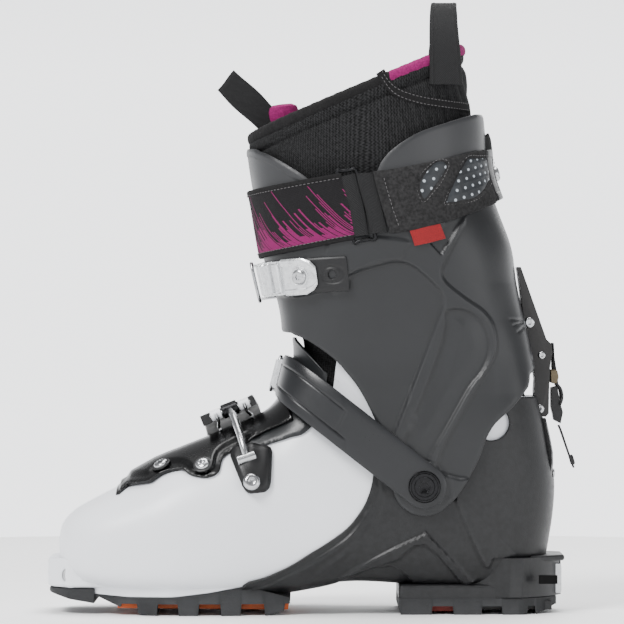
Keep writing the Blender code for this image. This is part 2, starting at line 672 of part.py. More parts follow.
def band_end(side):
    low, high = sorted((side * (BAND_HALF_SPAN + 0.06), side * (BAND_HALF_SPAN + BAND_WALL + 0.2)))
    return turned(f"band_end_{side:+.0f}", ((0, low), (11.6, low), (11.6, high), (0, high)),
                  (0, 0, PIVOT_Z), (0, 1, 0), None, 24)


def instep_band():
    near = patch("instep_band", band_taper, even_turns(-math.pi / 2 + 0.004, 0.52, 22), np.linspace(-1, 1, 4),
                 0.0, BAND_WALL, DARK)
    join(near, band_end(NEAR))
    far = patch("instep_strap", band_taper, even_turns(0.64, math.pi / 2 - 0.004, 12), np.linspace(-1, 1, 4),
                0.0, BAND_WALL, DARK)
    join(far, band_end(FAR))
    cut(near, *pivot_bores())
    cut(far, *pivot_bores())

    def outside(around, across):
        point, normal = band_at(around, across)
        return point + normal * BAND_WALL, normal

    ladder("instep_ladder", outside, 0.06, 0.46, 8.0, 5, SILVER)
    buckle("instep", outside, 0.86, 1.33, 0.27, 9.5, far)
    for name, side in (("near", NEAR), ("far", FAR)):
        face = side * (BAND_HALF_SPAN + BAND_WALL + GAP)
        screw(f"ankle_bolt_{name}", (0, face, PIVOT_Z), (0, side, 0), STEEL, head=8.6, height=2.6, shank=3.95,
              depth=12.6)


def buckle(prefix, surface, pivot, tip, hook, half, base=None, hook_lift=5.6):
    """An over-centre lever with its base, pin and wire bail.

    pivot, tip and hook are places along the strip: the lever lies from pivot to tip, and the bail reaches
    from the lever to hook. A base that is given takes the pivot's ear instead of a plate of its own.
    """
    pin_lift, bail_arm = 5.6, 7.0
    way = math.copysign(1, tip - pivot)
    pin, normal, over = spot(surface, pivot, 0.0, pin_lift)
    run = np.linalg.norm(surface(pivot + 0.01, 0.0)[0] - surface(pivot - 0.01, 0.0)[0]) / 0.02
    near_tip = unit(surface(pivot + way * 0.01, 0.0)[0] - surface(pivot - way * 0.01, 0.0)[0])
    own_base = base is None
    if own_base:
        rows = pivot + way * np.linspace(-6, 9, 4) / run
        base = patch(f"{prefix}_buckle_base", surface, rows, np.linspace(-half, half, 3), 0.4, 2.2, BLACK)
    ear_foot, ear_head = (0.8 if own_base else -1.2), pin_lift - 0.4
    ear_middle = pin + normal * ((ear_foot + ear_head) / 2 - pin_lift)
    join(base, block(f"{prefix}_ear", ear_middle, over, normal, (4.9, ear_head - ear_foot, 4.5)),
         rod(f"{prefix}_ear_top", pin - over * 2.6, pin + over * 2.6, 2.5))
    cut(base, bore(f"{prefix}_ear_bore", pin - over * 5, pin + over * 5, 1.45))
    rows = np.r_[pivot - way * 2.2 / run, np.linspace(pivot + way * 5 / run, tip, 7)]
    outer = np.interp(np.abs(rows - pivot) * run, (0, 8, 45), (7.9, 7.6, 5.6))[:, None]
    lever = patch(f"{prefix}_lever", surface, rows, np.linspace(2.2 - half, half - 2.2, 3), 3.3, outer, SILVER)
    cut(lever, block(f"{prefix}_fork", pin - near_tip * 1.0, over, normal, (6.2, 14, 11.0)))
    cut(lever, bore(f"{prefix}_lever_bore", pin - over * 15, pin + over * 15, 1.45))
    wire_hole, _, _ = spot(surface, pivot + way * bail_arm / run, 0.0, pin_lift)
    cut(lever, bore(f"{prefix}_bail_bore", wire_hole - over * 15, wire_hole + over * 15, 1.3))
    rod(f"{prefix}_lever_pin", pin - over * (half - 2.6), pin + over * (half - 2.6), 1.1, STEEL, 10)
    turns = np.linspace(pivot + way * bail_arm / run, hook, 12)
    lifts = np.linspace(pin_lift, hook_lift, 12)
    path = []
    for side in (-1, 1):
        arm = [wire_hole + over * side * (half - 4.5)]
        arm += [spot(surface, turn, side * (half - 0.9), lift)[0] for turn, lift in zip(turns, lifts)]
        path += arm if side < 0 else arm[::-1]
    tube(f"{prefix}_bail", path, 0.9, STEEL, 6)


# ---------------------------------------------------------------- cuff and what is on it

def cuff():
    heights = np.array((59, 74, 92, 110, 128, 146, 162, 180, 200, 218, 240))
    wrap = np.linspace(0, 2 * math.pi, 32, endpoint=False)
    shell = patch("cuff", cuff_at, heights, wrap, -CUFF_WALL, 0.0, DARK, wrap=True)
    boss = [(16 * math.sin(turn), PIVOT_Z - 16 * math.cos(turn))
            for turn in np.radians((-75, -50, -25, 0, 25, 50, 70))]
    outline = [(-120, 154.4), (-79, 153.5), (-72, 152), (-64, 149), (-55, 143.5), (-47, 137.5), (-42, 132),
               (-37, 126), (-32, 118), (-27, 108), (-21, 94), (-17, 80), *boss, (20, 69), (28.5, 83),
               (33, 95.4), (38.3, 104.3), (48, 113), (57, 124), (61, 133), (90, 136), (90, 230.4), (20, 230.4),
               (-20, 222), (-60, 204), (-92, 197), (-120, 196)]
    keep(shell, prism("cuff_outline", outline, -90, 90))
    cut(shell, *pivot_bores())
    cut(shell, block("lever_slot", (58, 0, 146), (1, 0, 0), (0, 0, 1), (40, 92, 22.6)))


def rear_spoiler():
    heights = np.array((216, 224, 231, 239, 250, 261, 272))
    columns = np.linspace(-1.32, 1.32, 15)
    outer = np.interp(heights, (231, 239), (-3.4, -0.3))[:, None]
    spoiler = patch("rear_spoiler", cuff_at, heights, columns, outer - 2.0, outer, DARK)
    outline = ((-27, 214), (-27, 243.5), (-10, 251), (12, 262), (28, 271), (60, 273), (60, 214))
    keep(spoiler, prism("spoiler_outline", outline, -90, 90))


def tongue_upper():
    heights = np.array((174, 190, 207, 218, 230, 243, 256.5))
    outer = np.interp(heights, (207, 218), (-3.5, -0.4))[:, None]
    patch("tongue_upper", cuff_at, heights, np.linspace(-0.95, 0.95, 11) + math.pi, outer - 2.0, outer, DARK)


def strap_height(around):
    back = (1 + np.cos(around)) / 2
    return 212 + 16 * back + 11 * back ** 2


def strap_surface(around, part):
    """The power strap's ring round the leg; part runs from -1 at its lower edge to 1 at its upper one."""
    back = (1 + np.cos(around)) / 2
    return cuff_at(strap_height(around) + part * (17 - 3 * back ** 2), around)


def power_strap():
    edges = np.linspace(-1, 1, 4)
    patch("power_strap", strap_surface, np.linspace(1.80, 2 * math.pi - 0.42, 26), edges, 0.4, 2.6, WEBBING)
    patch("strap_pad", strap_surface, np.linspace(0.42, 1.56, 9), edges, 0.6, 3.4, WEBBING)
    mount = patch("strap_mount", strap_surface, np.linspace(-0.38, 0.38, 7), edges * 0.96, 0.6, 3.2, BLACK)
    at, normal, _ = spot(strap_surface, 0.0, 0.0, 3.5)
    cut(mount, bore("mount_bore", at - normal * 6, at + normal * 3, 2.35))
    screw("strap_mount_screw", at, normal, STEEL, head=4.2, height=2.2, shank=2.0, depth=3.0)
    corners = ((1.62, -0.98), (1.62, 0.98), (1.74, 1.0), (1.74, -1.0))
    loop = []
    for i, (turn, part) in enumerate(corners):
        following = corners[(i + 1) % 4]
        for step in np.linspace(0, 1, 5)[:-1]:
            around = turn + (following[0] - turn) * step
            level = (part + (following[1] - part) * step) * 1.16
            point, normal = strap_surface(around, level)
            loop.append(point + normal * 1.7)
    tube("strap_ring", loop, 1.1, STEEL, 6, True)
    patch("strap_label", strap_surface, np.linspace(1.24, 1.47, 3), (-1.52, -1.06), 0.5, 1.5, RED)


def cuff_buckle_strip(around, across):
    height = 182 + 3.6 * (1 + np.cos(around))
    return cuff_at(height + np.asarray(across, float), around)


def raised_cuff_strip(around, across):
    point, normal = cuff_buckle_strip(around, across)
    return point + normal * 1.7, normal


def cuff_buckle():
    base = patch("cuff_ladder_base", cuff_buckle_strip, np.linspace(1.80, math.pi + 0.12, 12),
                 np.linspace(-9, 9, 3), 0.4, 1.8, BLACK)
    cut(base, bore("spare_bore", *spare_mount_line(), 2.6))
    toothed = ladder("cuff_ladder", raised_cuff_strip, math.pi + 0.1, 2.44, 8.0, 6, SILVER)
    plate = patch("ladder_plate", raised_cuff_strip, np.linspace(2.46, 2.06, 4), np.linspace(-9.5, 9.5, 3),
                  0.4, 2.6)
    join(toothed, plate)
    at, normal, _ = spot(raised_cuff_strip, 2.235, 0.0, 2.9)
    cut(toothed, bore("ladder_bore", at - normal * 6, at + normal * 3, 2.35))
    cut(base, bore("ladder_base_bore", at - normal * 9, at + normal * 3, 2.35))
    screw("cuff_ladder_screw", at, normal, STEEL, head=4.1, height=2.0, shank=2.0, depth=4.4)
    buckle("cuff", cuff_buckle_strip, math.pi + 0.95, math.pi + 1.72, math.pi + 0.02, 10.0, None, 7.4)


def spare_mount_line():
    at, normal, _ = spot(cuff_buckle_strip, 1.92, 0.0, 0.0)
    return at - normal * 4, at + normal * 5


# ---------------------------------------------------------------- walk mode lever

def walk_lever():
    """The lever at the back of the cuff, whose bolt drops into the catch on the heel."""
    outline = ((51.8, 188.7), (53.9, 188.7), (68.0, 149), (70.6, 146.6), (71.2, 142), (69.9, 133.9),
               (69.4, 121), (69.2, 108.4), (67.6, 106.6), (62.8, 106.9), (61.2, 109.8), (61.2, 121.3),
               (61.6, 127.4), (60.2, 137.1), (56.7, 150.9), (55.1, 163.5), (52.3, 185.9))
    lever = prism("walk_lever", outline, -9.2, 9.2, "Y", BLACK)
    pivot_x, pivot_z = LEVER_PIVOT
    lock_x, lock_z = LOCK_BOLT
    cut(lever, block("lever_channel", (pivot_x - 4, 0, pivot_z), (1, 0, 0), (0, 0, 1), (21, 21, 12.8)))
    cut(lever, block("lever_hook", (lock_x, 0, lock_z - 1), (1, 0, 0), (0, 0, 1), (30, 19, 10)))
    cut(lever, bore("lever_pivot_bore", (pivot_x, -15, pivot_z), (pivot_x, 15, pivot_z), 2.0))
    cut(lever, bore("lock_bore", (lock_x, -15, lock_z), (lock_x, 15, lock_z), 2.2))
    across = ((0, -10.4), (2.7, -10.4), (2.7, -9.5), (1.65, -9.5), (1.65, 9.5), (2.7, 9.5), (2.7, 10.4),
              (0, 10.4))
    turned("walk_lever_bolt", across, (pivot_x, 0, pivot_z), (0, 1, 0), STEEL, 14)
    turned("lock_bolt", across, (lock_x, 0, lock_z), (0, 1, 0), STEEL, 14)


def walk_hinge_block():
    """The block inside the cuff's slot that the walk lever turns on, with a flange behind the cuff's wall."""
    pivot_x, pivot_z = LEVER_PIVOT
    made = block("walk_hinge_block", (pivot_x - 3.4, 0, pivot_z), (1, 0, 0), (0, 0, 1), (11.6, 13, 12))
    made.hide_render = False
    made.display_type = "TEXTURED"
    made.data.materials.append(STEEL)
    join(made, prism("hinge_flange", ((48.3, 151.5), (47.4, 168), (48.9, 168), (50.0, 151.5)), -17, 17))
    cut(made, bore("hinge_bore", (pivot_x, -15, pivot_z), (pivot_x, 15, pivot_z), 2.0))


def heel_catch():
    """The catch on the heel: two cheeks that the walk lever's end drops between, joined below it."""
    rows = np.linspace(13.03, 14.2, 6)
    outer = np.interp(rows, (13.0, 13.4, 14.2), (2.4, 4.4, 3.8))[:, None]
    catch = patch("heel_catch", FOOT.at, np.linspace(12.98, 13.2, 3), np.linspace(-0.27, 0.27, 5), 0.6, 2.3,
                  BLACK)
    for name, near, far in (("near", 0.205, 0.272), ("far", -0.272, -0.205)):
        join(catch, patch(f"catch_cheek_{name}", FOOT.at, rows, (near, far), 0.7, outer))
    at, normal, _ = spot(FOOT.at, 13.09, 0.0, 2.6)
    cut(catch, bore("catch_bore", at - normal * 6, at + normal * 3, 1.8))
    screw("heel_catch_screw", at, normal, STEEL, head=2.6, height=1.2, shank=1.5, depth=2.0)


def pull_webbing():
    """A webbing tab on the walk lever, down to a slider that holds a cord loop."""
    strip = prism("pull_webbing", ((71.2, 147.2), (72.0, 147.0), (72.3, 139), (74.2, 124.5), (73.2, 124.2),
                                   (70.8, 133.9), (71.6, 142)), -6, 6, "Y", WEBBING)
    slider = prism("pull_slider", ((70.6, 122.6), (74.0, 123.4), (75.6, 114.6), (77.2, 109), (75.9, 102.8),
                                   (72.4, 104.6), (70.7, 112)), -6.5, 6.5, "Y", BLACK)
    cut(slider, block("slider_slot", (75.0, 0, 105.6), (1, 0, 0), (0, 0, 1), (12, 2.6, 8)))
    return strip


CORD_ROUTE = ((75.0, -2.2, 101.9), (76.4, -2.1, 98.5), (78.6, -1.6, 92), (81, -1.1, 85), (82.8, -0.8, 80),
              (83.3, 0, 78.8), (82.8, 0.8, 80), (81, 1.1, 85), (78.6, 1.6, 92), (76.4, 2.1, 98.5),
              (75.0, 2.2, 101.9))
CORD_RADIUS = 0.55


def pull_cord():
    stations = np.linspace(0, len(CORD_ROUTE) - 1, 24)
    path = through(CORD_ROUTE, stations) * MM
    curve = bpy.data.curves.new("pull_cord", "CURVE")
    curve.dimensions = "3D"
    spline = curve.splines.new("POLY")
    spline.points.add(len(path) - 1)
    for point, place in zip(spline.points, path):
        point.co = (*place, 1)
    curve.bevel_depth = CORD_RADIUS * MM
    curve.bevel_resolution = 2
    curve.use_fill_caps = True
    made = bpy.data.objects.new("pull_cord", curve)
    made.data.materials.append(WEBBING)
    bpy.context.collection.objects.link(made)


# ---------------------------------------------------------------- liner

def liner():
    columns = np.linspace(0, 2 * math.pi, 18, endpoint=False)
    foot = patch("liner_foot", LINER.at, np.linspace(0, 9.6, 12), columns, -LINER_WALL, 0.0, KNIT, True, True)
    cut(foot, prism("instep_trim", ((-100, 150), (-30, 150), (-30, 200), (-100, 200)), -60, 60))
    patch("liner_ankle", LINER.at, np.linspace(9.75, 13.05, 5), columns, -LINER_WALL, 0.0, KNIT, True)
    patch("liner_cuff", LINER.at, np.linspace(13.2, 18, 6), columns, -LINER_WALL, 0.0, KNIT, True)
    patch("pull_loop_front", front_loop, (-15.0, 0.0, 15.0), (-1.0, 0.0, 1.0), -1.5, 1.5, WEBBING)
    patch("pull_loop_rear", rear_loop, np.linspace(-1, 1, 11), (-1.0, 0.0, 1.0), -0.7, 0.9, WEBBING)


def front_loop(along, across):
    """A folded webbing loop that stands up from the front of the collar, in the centre plane."""
    along, across = np.broadcast_arrays(np.asarray(along, float), np.asarray(across, float))
    x = -97.0 - 0.72 * along + 4.6 * across
    z = 281.0 + 0.69 * along + 5.0 * across
    point = np.stack([x, 0 * x, z], -1)
    return point, np.broadcast_to((0.0, -1.0, 0.0), point.shape)


def rear_loop(along, across):
    """A webbing arch over the back of the collar, from its near side to its far one."""
    def place(part, over):
        turn = part * math.pi / 2
        y = 41.0 * signed_power(np.sin(turn), 0.75)
        z = 286 + 47 * np.cos(turn) ** 0.8
        x = 12 + over * (8.6 - 2.0 * np.cos(turn))
        return np.stack(np.broadcast_arrays(x, y, z), -1)

    along, across = np.broadcast_arrays(np.asarray(along, float), np.asarray(across, float))
    inner = np.clip(along, -0.98, 0.98)
    one = place(inner + 0.01, across) - place(inner - 0.01, across)
    other = place(inner, across + 0.1) - place(inner, across - 0.1)
    return place(along, across), unit(np.cross(one, other))


# ---------------------------------------------------------------- the boot

def main():
    for made in list(bpy.data.objects):
        bpy.data.objects.remove(made)
    lower_shell()
    heel_frame()
    outsole_front()
    outsole_heel()
    sole_core()
    toe_bumper()
    toe_fitting()
    heel_fitting()
    tongue_plate()
    tongue_lower()
    toe_anchor()
    toe_rod()
    toe_bail()
    ladder("toe_ladder", toe_strip, math.pi + 0.9, math.pi + 1.27, 7.0, 4, SILVER)
    instep_band()
    cuff()
    rear_spoiler()
    tongue_upper()
    power_strap()
    cuff_buckle()
    walk_lever()
    walk_hinge_block()
    heel_catch()
    pull_webbing()
    pull_cord()
    liner()


main()
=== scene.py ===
import json
import math

import bmesh
import bpy
import numpy as np
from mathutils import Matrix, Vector


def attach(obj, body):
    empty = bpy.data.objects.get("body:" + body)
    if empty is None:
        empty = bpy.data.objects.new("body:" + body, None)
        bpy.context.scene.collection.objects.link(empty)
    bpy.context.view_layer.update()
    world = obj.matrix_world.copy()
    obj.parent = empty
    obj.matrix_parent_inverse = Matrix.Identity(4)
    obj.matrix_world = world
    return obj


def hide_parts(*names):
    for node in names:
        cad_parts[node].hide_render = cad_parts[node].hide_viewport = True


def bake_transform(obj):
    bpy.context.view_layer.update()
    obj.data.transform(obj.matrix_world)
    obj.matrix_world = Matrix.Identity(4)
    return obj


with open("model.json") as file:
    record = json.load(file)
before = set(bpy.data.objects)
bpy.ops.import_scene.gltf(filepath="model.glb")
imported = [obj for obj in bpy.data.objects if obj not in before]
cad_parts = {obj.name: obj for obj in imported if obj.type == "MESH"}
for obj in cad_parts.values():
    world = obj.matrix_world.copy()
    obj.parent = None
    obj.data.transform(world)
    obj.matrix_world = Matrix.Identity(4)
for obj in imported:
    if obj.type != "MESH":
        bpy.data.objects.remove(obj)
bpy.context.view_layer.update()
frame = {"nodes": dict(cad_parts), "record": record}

# A ski-touring boot. Lengths are in millimetres and angles in radians until a mesh is made.
# Toe towards -X, the inner (near) side of the foot towards -Y, leg towards +Z.

MM = 0.001
NEAR, FAR = -1.0, 1.0
PI = math.pi
BODY_OF = {node: body for body, nodes in frame["record"]["behaviour"]["bodies"].items() for node in nodes}

# ---------------------------------------------------------------- the frame's master surfaces

PIVOT_Z = 70.0
BAND_RADIUS, BAND_ANGLE, BAND_HALF_SPAN, BAND_WALL = 96.2, math.radians(38), 47.4, 2.6
LEVER_PIVOT, LOCK_BOLT = (58.5, 158.2), (64.2, 111.0)
TOE_STATION, TOE_PITCH, TOE_SLANT = 6.33, 26.5, 0.19
TOE_AXLE_TURN, TOE_AXLE_LIFT, TOE_HINGE_TURN, TOE_HINGE_LIFT = 2.95, 13.3, 2.21, 4.4
ROLLER_OFFSET, ROLLER_RADIUS, WIRE_GAP, WIRE_RADIUS = 8.2, 2.9, 0.35, 0.95

FOOT_ROWS = (
    (-198.8, 31, -198.8, 43, 10, 10), (-196.8, 23, -196.8, 49, 24, 22), (-191, 19, -191, 55.3, 33, 30),
    (-180, 15, -180, 61.8, 41, 38), (-160, 12, -160, 72, 47, 45), (-135, 10.5, -137, 84.2, 51, 51),
    (-105, 10.5, -110, 95.6, 50, 54), (-75, 13, -83.5, 107.4, 46, 51), (-40, 18, -72.5, 122, 43, 45),
    (0, 16, -69.3, 135, 40.5, 40.8), (38, 14, -69.3, 148, 40, 40), (60, 22, -73, 158, 39.5, 39.5),
    (67, 45, -76, 167, 39.5, 39.5), (69.3, 73, -80, 177, 39.5, 39.5), (66, 99, -84, 185, 39.5, 39.5),
    (60, 124, -88, 194, 39.5, 39.5),
)
CUFF_FIRST_Z, CUFF_STEP_Z = 60.0, 20.0
CUFF_SECTIONS = (
    (66, -70, 46.6), (66, -73, 46.6), (65, -76, 46.6), (63, -78, 45.8), (60, -79, 45.2), (56.3, -79.7, 46.8),
    (53.6, -84, 48.8), (50.7, -88.5, 50), (43.5, -92, 50), (36.5, -95.5, 50), (35, -98, 49.5),
    (33, -100, 49),
)
CUFF_POWER = ((0, 6), (2, 6), (3, 4.6), (4, 4), (5, 3.4), (6, 3), (7, 2.8), (8, 2.6))
LINER_ROWS = (
    (-184, 24, -184, 52, 22, 20), (-175, 20, -175, 58.5, 33, 31), (-158, 17, -158, 68, 42, 40),
    (-135, 15, -137, 79, 46, 46), (-105, 15, -109, 90.5, 45, 48.5), (-75, 17.5, -82, 102, 41, 46),
    (-40, 22, -69.5, 118, 38, 40.5), (0, 20.5, -65.3, 134.5, 36, 36.2), (36, 19.5, -65.3, 147.5, 35, 35),
    (54.5, 27.5, -68.8, 157, 34.8, 34.8), (62.5, 47, -71.8, 166, 35.2, 35.2), (64.8, 74, -75, 176, 35.2,
                                                                               35.2),
    (61.5, 100, -78, 187, 35.5, 35.5), (54, 127, -81, 199, 38.5, 38.5), (46, 155, -84, 211, 41.5, 41.5),
    (39, 190, -87.5, 224, 43.2, 43.2), (33, 225, -91, 237, 43.8, 43.8), (27, 262, -93.2, 249, 45.5, 45.5),
    (22, 309, -94.4, 259, 46.5, 46.5),
)


def through(rows, position):
    """Rows of numbers read at any position along them, on a smooth curve through every row."""
    rows = np.asarray(rows, float)
    last = len(rows) - 1
    start = np.clip(np.floor(position).astype(int), 0, last - 1)
    part = (np.asarray(position, float) - start)[..., None]
    before, first = rows[np.maximum(start - 1, 0)], rows[start]
    second, after = rows[start + 1], rows[np.minimum(start + 2, last)]
    bend = 2 * before - 5 * first + 4 * second - after
    cubic = 3 * first - before - 3 * second + after
    return first + 0.5 * part * (second - before + part * (bend + part * cubic))


def signed_power(value, power):
    """A power that keeps the sign."""
    return np.sign(value) * np.abs(value) ** power


def unit(vectors):
    vectors = np.asarray(vectors, float)
    return vectors / np.maximum(np.linalg.norm(vectors, axis=-1, keepdims=True), 1e-12)


def run_along(line):
    """The distance from a line's first point to each of its points."""
    return np.r_[0, np.cumsum(np.linalg.norm(np.diff(line, axis=0), axis=1))]


def evenly(fine, run, count, endpoint=True):
    """The values of fine at even distances along their run."""
    return np.interp(np.linspace(0, run[-1], count, endpoint=endpoint), run, fine)


class Limb:
    """A surface lofted through rounded sections, fanned like the leaves of a book where the foot turns."""

    def __init__(self, rows, belly, power_low, power_top):
        self.rows = rows
        self.belly = np.array(belly, float).T
        self.power_low = np.array(power_low, float).T
        self.power_top = np.array(power_top, float).T

    def section(self, along, around):
        back_x, back_z, front_x, front_z, near, far = np.moveaxis(through(self.rows, along), -1, 0)
        low, high = np.cos(around) > 0, np.cos(around) <= 0
        belly = np.interp(along, *self.belly)
        power = np.where(low, np.interp(along, *self.power_low), np.interp(along, *self.power_top))
        rise = np.stack([front_x - back_x, 0 * back_x, front_z - back_z], -1)
        length = np.linalg.norm(rise, axis=-1)
        rise = rise / length[..., None]
        across = np.array((0.0, 1.0, 0.0))
        reach = np.where(high, 1 - belly, belly) * length
        width = np.where(np.sin(around) > 0, near, far)
        upward = -reach * signed_power(np.cos(around), 2 / power)
        sideways = -width * signed_power(np.sin(around), 2 / power)
        back = np.stack([back_x, 0 * back_x, back_z], -1)
        centre = back + rise * (belly * length)[..., None]
        point = centre + rise * upward[..., None] + across * sideways[..., None]
        slope_up = signed_power(upward / reach, power - 1) / reach
        slope_side = signed_power(sideways / width, power - 1) / width
        outward = rise * slope_up[..., None] + across * slope_side[..., None]
        tangent = across * slope_up[..., None] - rise * slope_side[..., None]
        return point, outward, tangent

    def at(self, along, around):
        """Points and outward unit normals."""
        along, around = np.broadcast_arrays(np.asarray(along, float), np.asarray(around, float))
        point, outward, tangent = self.section(along, around)
        step = 0.02
        ahead = self.section(along + step, around)[0] - self.section(along - step, around)[0]
        normal = unit(np.cross(tangent, ahead))
        return point, normal * np.sign((normal * outward).sum(-1, keepdims=True))


FOOT = Limb(FOOT_ROWS, ((0, 0.5), (4, 0.42), (8, 0.42), (12, 0.5)), ((0, 2.6), (4, 4.5), (9, 4.5), (11, 2.8)),
            ((0, 2.4), (8, 2.4), (11, 2.6)))
CUFF = Limb([(rear, CUFF_FIRST_Z + i * CUFF_STEP_Z, front, CUFF_FIRST_Z + i * CUFF_STEP_Z, half, half)
             for i, (rear, front, half) in enumerate(CUFF_SECTIONS)], ((0, 0.5), (1, 0.5)), CUFF_POWER,
            CUFF_POWER)
LINER = Limb(LINER_ROWS, ((0, 0.5), (3, 0.42), (7, 0.42), (11, 0.5)),
             ((0, 2.4), (4, 3.4), (9, 3.2), (12, 2.5)), ((0, 2.2), (8, 2.2), (12, 2.5)))


def cuff_at(height, around):
    """The cuff's surface, straight down below its first section."""
    station = (np.asarray(height, float) - CUFF_FIRST_Z) / CUFF_STEP_Z
    point, normal = CUFF.at(np.maximum(station, 0), around)
    return point + np.minimum(station, 0)[..., None] * np.array((0, 0, CUFF_STEP_Z)), normal


def toe_strip(around, across):
    """The toe buckle's slanting strip across the shell."""
    slant = TOE_SLANT * np.maximum(TOE_AXLE_TURN - np.asarray(around, float), 0.0)
    return FOOT.at(TOE_STATION + slant + np.asarray(across, float) / TOE_PITCH, around)


def spot(surface, along, across, lift):
    """A point above a surface, its normal, and the direction across the strip."""
    point, normal = surface(along, across)
    over = unit(surface(along, across + 1.0)[0] - surface(along, across - 1.0)[0])
    return point + normal * lift, normal, over


def band_strip(around, across):
    """The instep band's ring, leaning as it goes round the front."""
    around, across = np.broadcast_arrays(np.asarray(around, float), np.asarray(across, float))
    forward = BAND_RADIUS * signed_power(np.cos(around), 2 / 3.8)
    sideways = BAND_HALF_SPAN * signed_power(np.sin(around), 2 / 3.8)
    lean = np.radians(38 - 24 * np.clip(np.cos(around), 0, 1) ** 3)
    x = -forward * math.cos(BAND_ANGLE) + across * np.sin(lean)
    z = PIVOT_Z + forward * math.sin(BAND_ANGLE) + across * np.cos(lean)
    return np.stack([x, sideways, z], -1)


def band_at(around, across):
    """The ring and its normals."""
    along, over = np.broadcast_arrays(np.asarray(around, float), np.asarray(across, float))
    step = 0.004
    one = band_strip(along + step, over) - band_strip(along - step, over)
    other = band_strip(along, over + 1) - band_strip(along, over - 1)
    return band_strip(along, over), unit(np.cross(other, one))


def raised(surface, lift):
    """The surface that lies a lift above another one."""
    def above(along, across):
        point, normal = surface(along, across)
        return point + normal * lift, normal
    return above


def band_taper(around, part):
    """The band with its rounded end behind each ankle bolt; part runs from -1 to 1 across it."""
    half = np.interp(np.abs(around), (0, 0.9, 1.57), (10.4, 12.9, 11.6))
    behind = np.clip(-BAND_RADIUS * signed_power(np.cos(around), 2 / 3.8), 0, 11.5)
    half = np.minimum(half, np.sqrt(np.maximum(11.6 ** 2 - behind ** 2, 0.2)))
    return band_at(around, part * half)


def even_turns(start, end, count):
    """Turns along the band's middle line at even distances."""
    fine = np.linspace(start, end, 4000)
    return evenly(fine, run_along(band_strip(fine, 0 * fine)), count)


def even_columns(surface, stations, count, low=0.0, high=2 * PI, wrap=True):
    """Turns round a surface at even distances, on the average of the given stations."""
    fine = np.linspace(low, high, 20001)
    run = 0
    for station in stations:
        part = run_along(surface(np.full(fine.shape, float(station)), fine)[0])
        run = run + part / part[-1]
    return evenly(fine, run, count, endpoint=not wrap)


def strap_surface(around, part):
    """The cuff's surface under the power strap, which rises and narrows towards the back."""
    back = (1 + np.cos(around)) / 2
    return cuff_at(212 + 16 * back + 11 * back ** 2 + part * (17 - 3 * back ** 2), around)


def cuff_buckle_strip(around, across):
    """The strip of the cuff that its buckle lies on."""
    return cuff_at(182 + 3.6 * (1 + np.cos(around)) + np.asarray(across, float), around)


LADDER_LIFT = 1.7
raised_cuff_strip = raised(cuff_buckle_strip, LADDER_LIFT)


# ---------------------------------------------------------------- outlines and relief in the side view

def smooth(points, steps=6, closed=False):
    """A smooth line through the points."""
    points = [tuple(p) for p in points]
    if closed:
        ring = [points[-1], *points, points[0], points[1]]
        return through(ring, 1 + np.arange(len(points) * steps) / steps)
    return through(points, np.linspace(0, len(points) - 1, (len(points) - 1) * steps + 1))


def to_line(line, x, z, closed=True):
    """Distance in the side view to a line, positive inside a closed one, and the nearest points on it."""
    line = np.asarray(line, float)
    starts, ends = (line, np.roll(line, -1, 0)) if closed else (line[:-1], line[1:])
    run = ends - starts
    here = np.stack([x, z], -1)[..., None, :]
    share = np.clip(((here - starts) * run).sum(-1) / np.maximum((run ** 2).sum(-1), 1e-9), 0, 1)
    near = starts + share[..., None] * run
    apart = np.linalg.norm(here - near, axis=-1)
    pick = apart.argmin(-1)[..., None]
    gap = np.take_along_axis(apart, pick, -1)[..., 0]
    nearest = np.take_along_axis(near, pick[..., None], -2)[..., 0, :]
    if closed:
        level = z[..., None]
        crosses = (starts[:, 1] > level) != (ends[:, 1] > level)
        slope = run[:, 0] / np.where(run[:, 1] == 0, 1e-9, run[:, 1])
        inside = ((x[..., None] < starts[:, 0] + (level - starts[:, 1]) * slope) & crosses).sum(-1) % 2 == 1
        gap = np.where(inside, gap, -gap)
    return gap, nearest


def ramp(value, low, high):
    """0 below low, 1 above high, with a soft start and end."""
    part = np.clip((value - low) / (high - low), 0, 1)
    return part * part * (3 - 2 * part)


def sunk(line, x, z, depth, width):
    """A panel that lies lower than what is round it."""
    return -depth * ramp(to_line(line, x, z)[0], -width / 2, width / 2)


def ridge(line, x, z, height, width):
    """A rounded rib, or a groove when its height is negative, along a line."""
    return height * np.exp(-(to_line(line, x, z, closed=False)[0] / width) ** 2)


# ---------------------------------------------------------------- meshes

def add_piece(name, mesh, look, body, nodes=(), smooth_angle=38):
    """A mesh with its look, riding on a body and standing for CAD nodes."""
    mesh.shade_smooth()
    mesh.set_sharp_from_angle(angle=math.radians(smooth_angle))
    made = bpy.data.objects.new(name, mesh)
    bpy.context.collection.objects.link(made)
    mesh.materials.append(look)
    if body:
        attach(made, body)
    if nodes:
        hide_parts(*nodes)
    return made


def mesh_of(name, points, faces, strip=None):
    """A mesh from points in millimetres, with each point's place on its strip."""
    mesh = bpy.data.meshes.new(name)
    mesh.from_pydata((np.asarray(points, float) * MM).tolist(), [], faces)
    if strip is not None:
        layer = mesh.attributes.new("strip", "FLOAT_VECTOR", "POINT")
        layer.data.foreach_set("vector", np.asarray(strip, np.float32).ravel())
    return mesh


def closed_piece(name, points, faces, look, body, nodes=(), strip=None):
    """A piece of a closed mesh, with its faces turned outwards."""
    mesh = mesh_of(name, points, faces, strip)
    work = bmesh.new()
    work.from_mesh(mesh)
    bmesh.ops.recalc_face_normals(work, faces=work.faces)
    work.to_mesh(mesh)
    work.free()
    return add_piece(name, mesh, look, body, nodes)


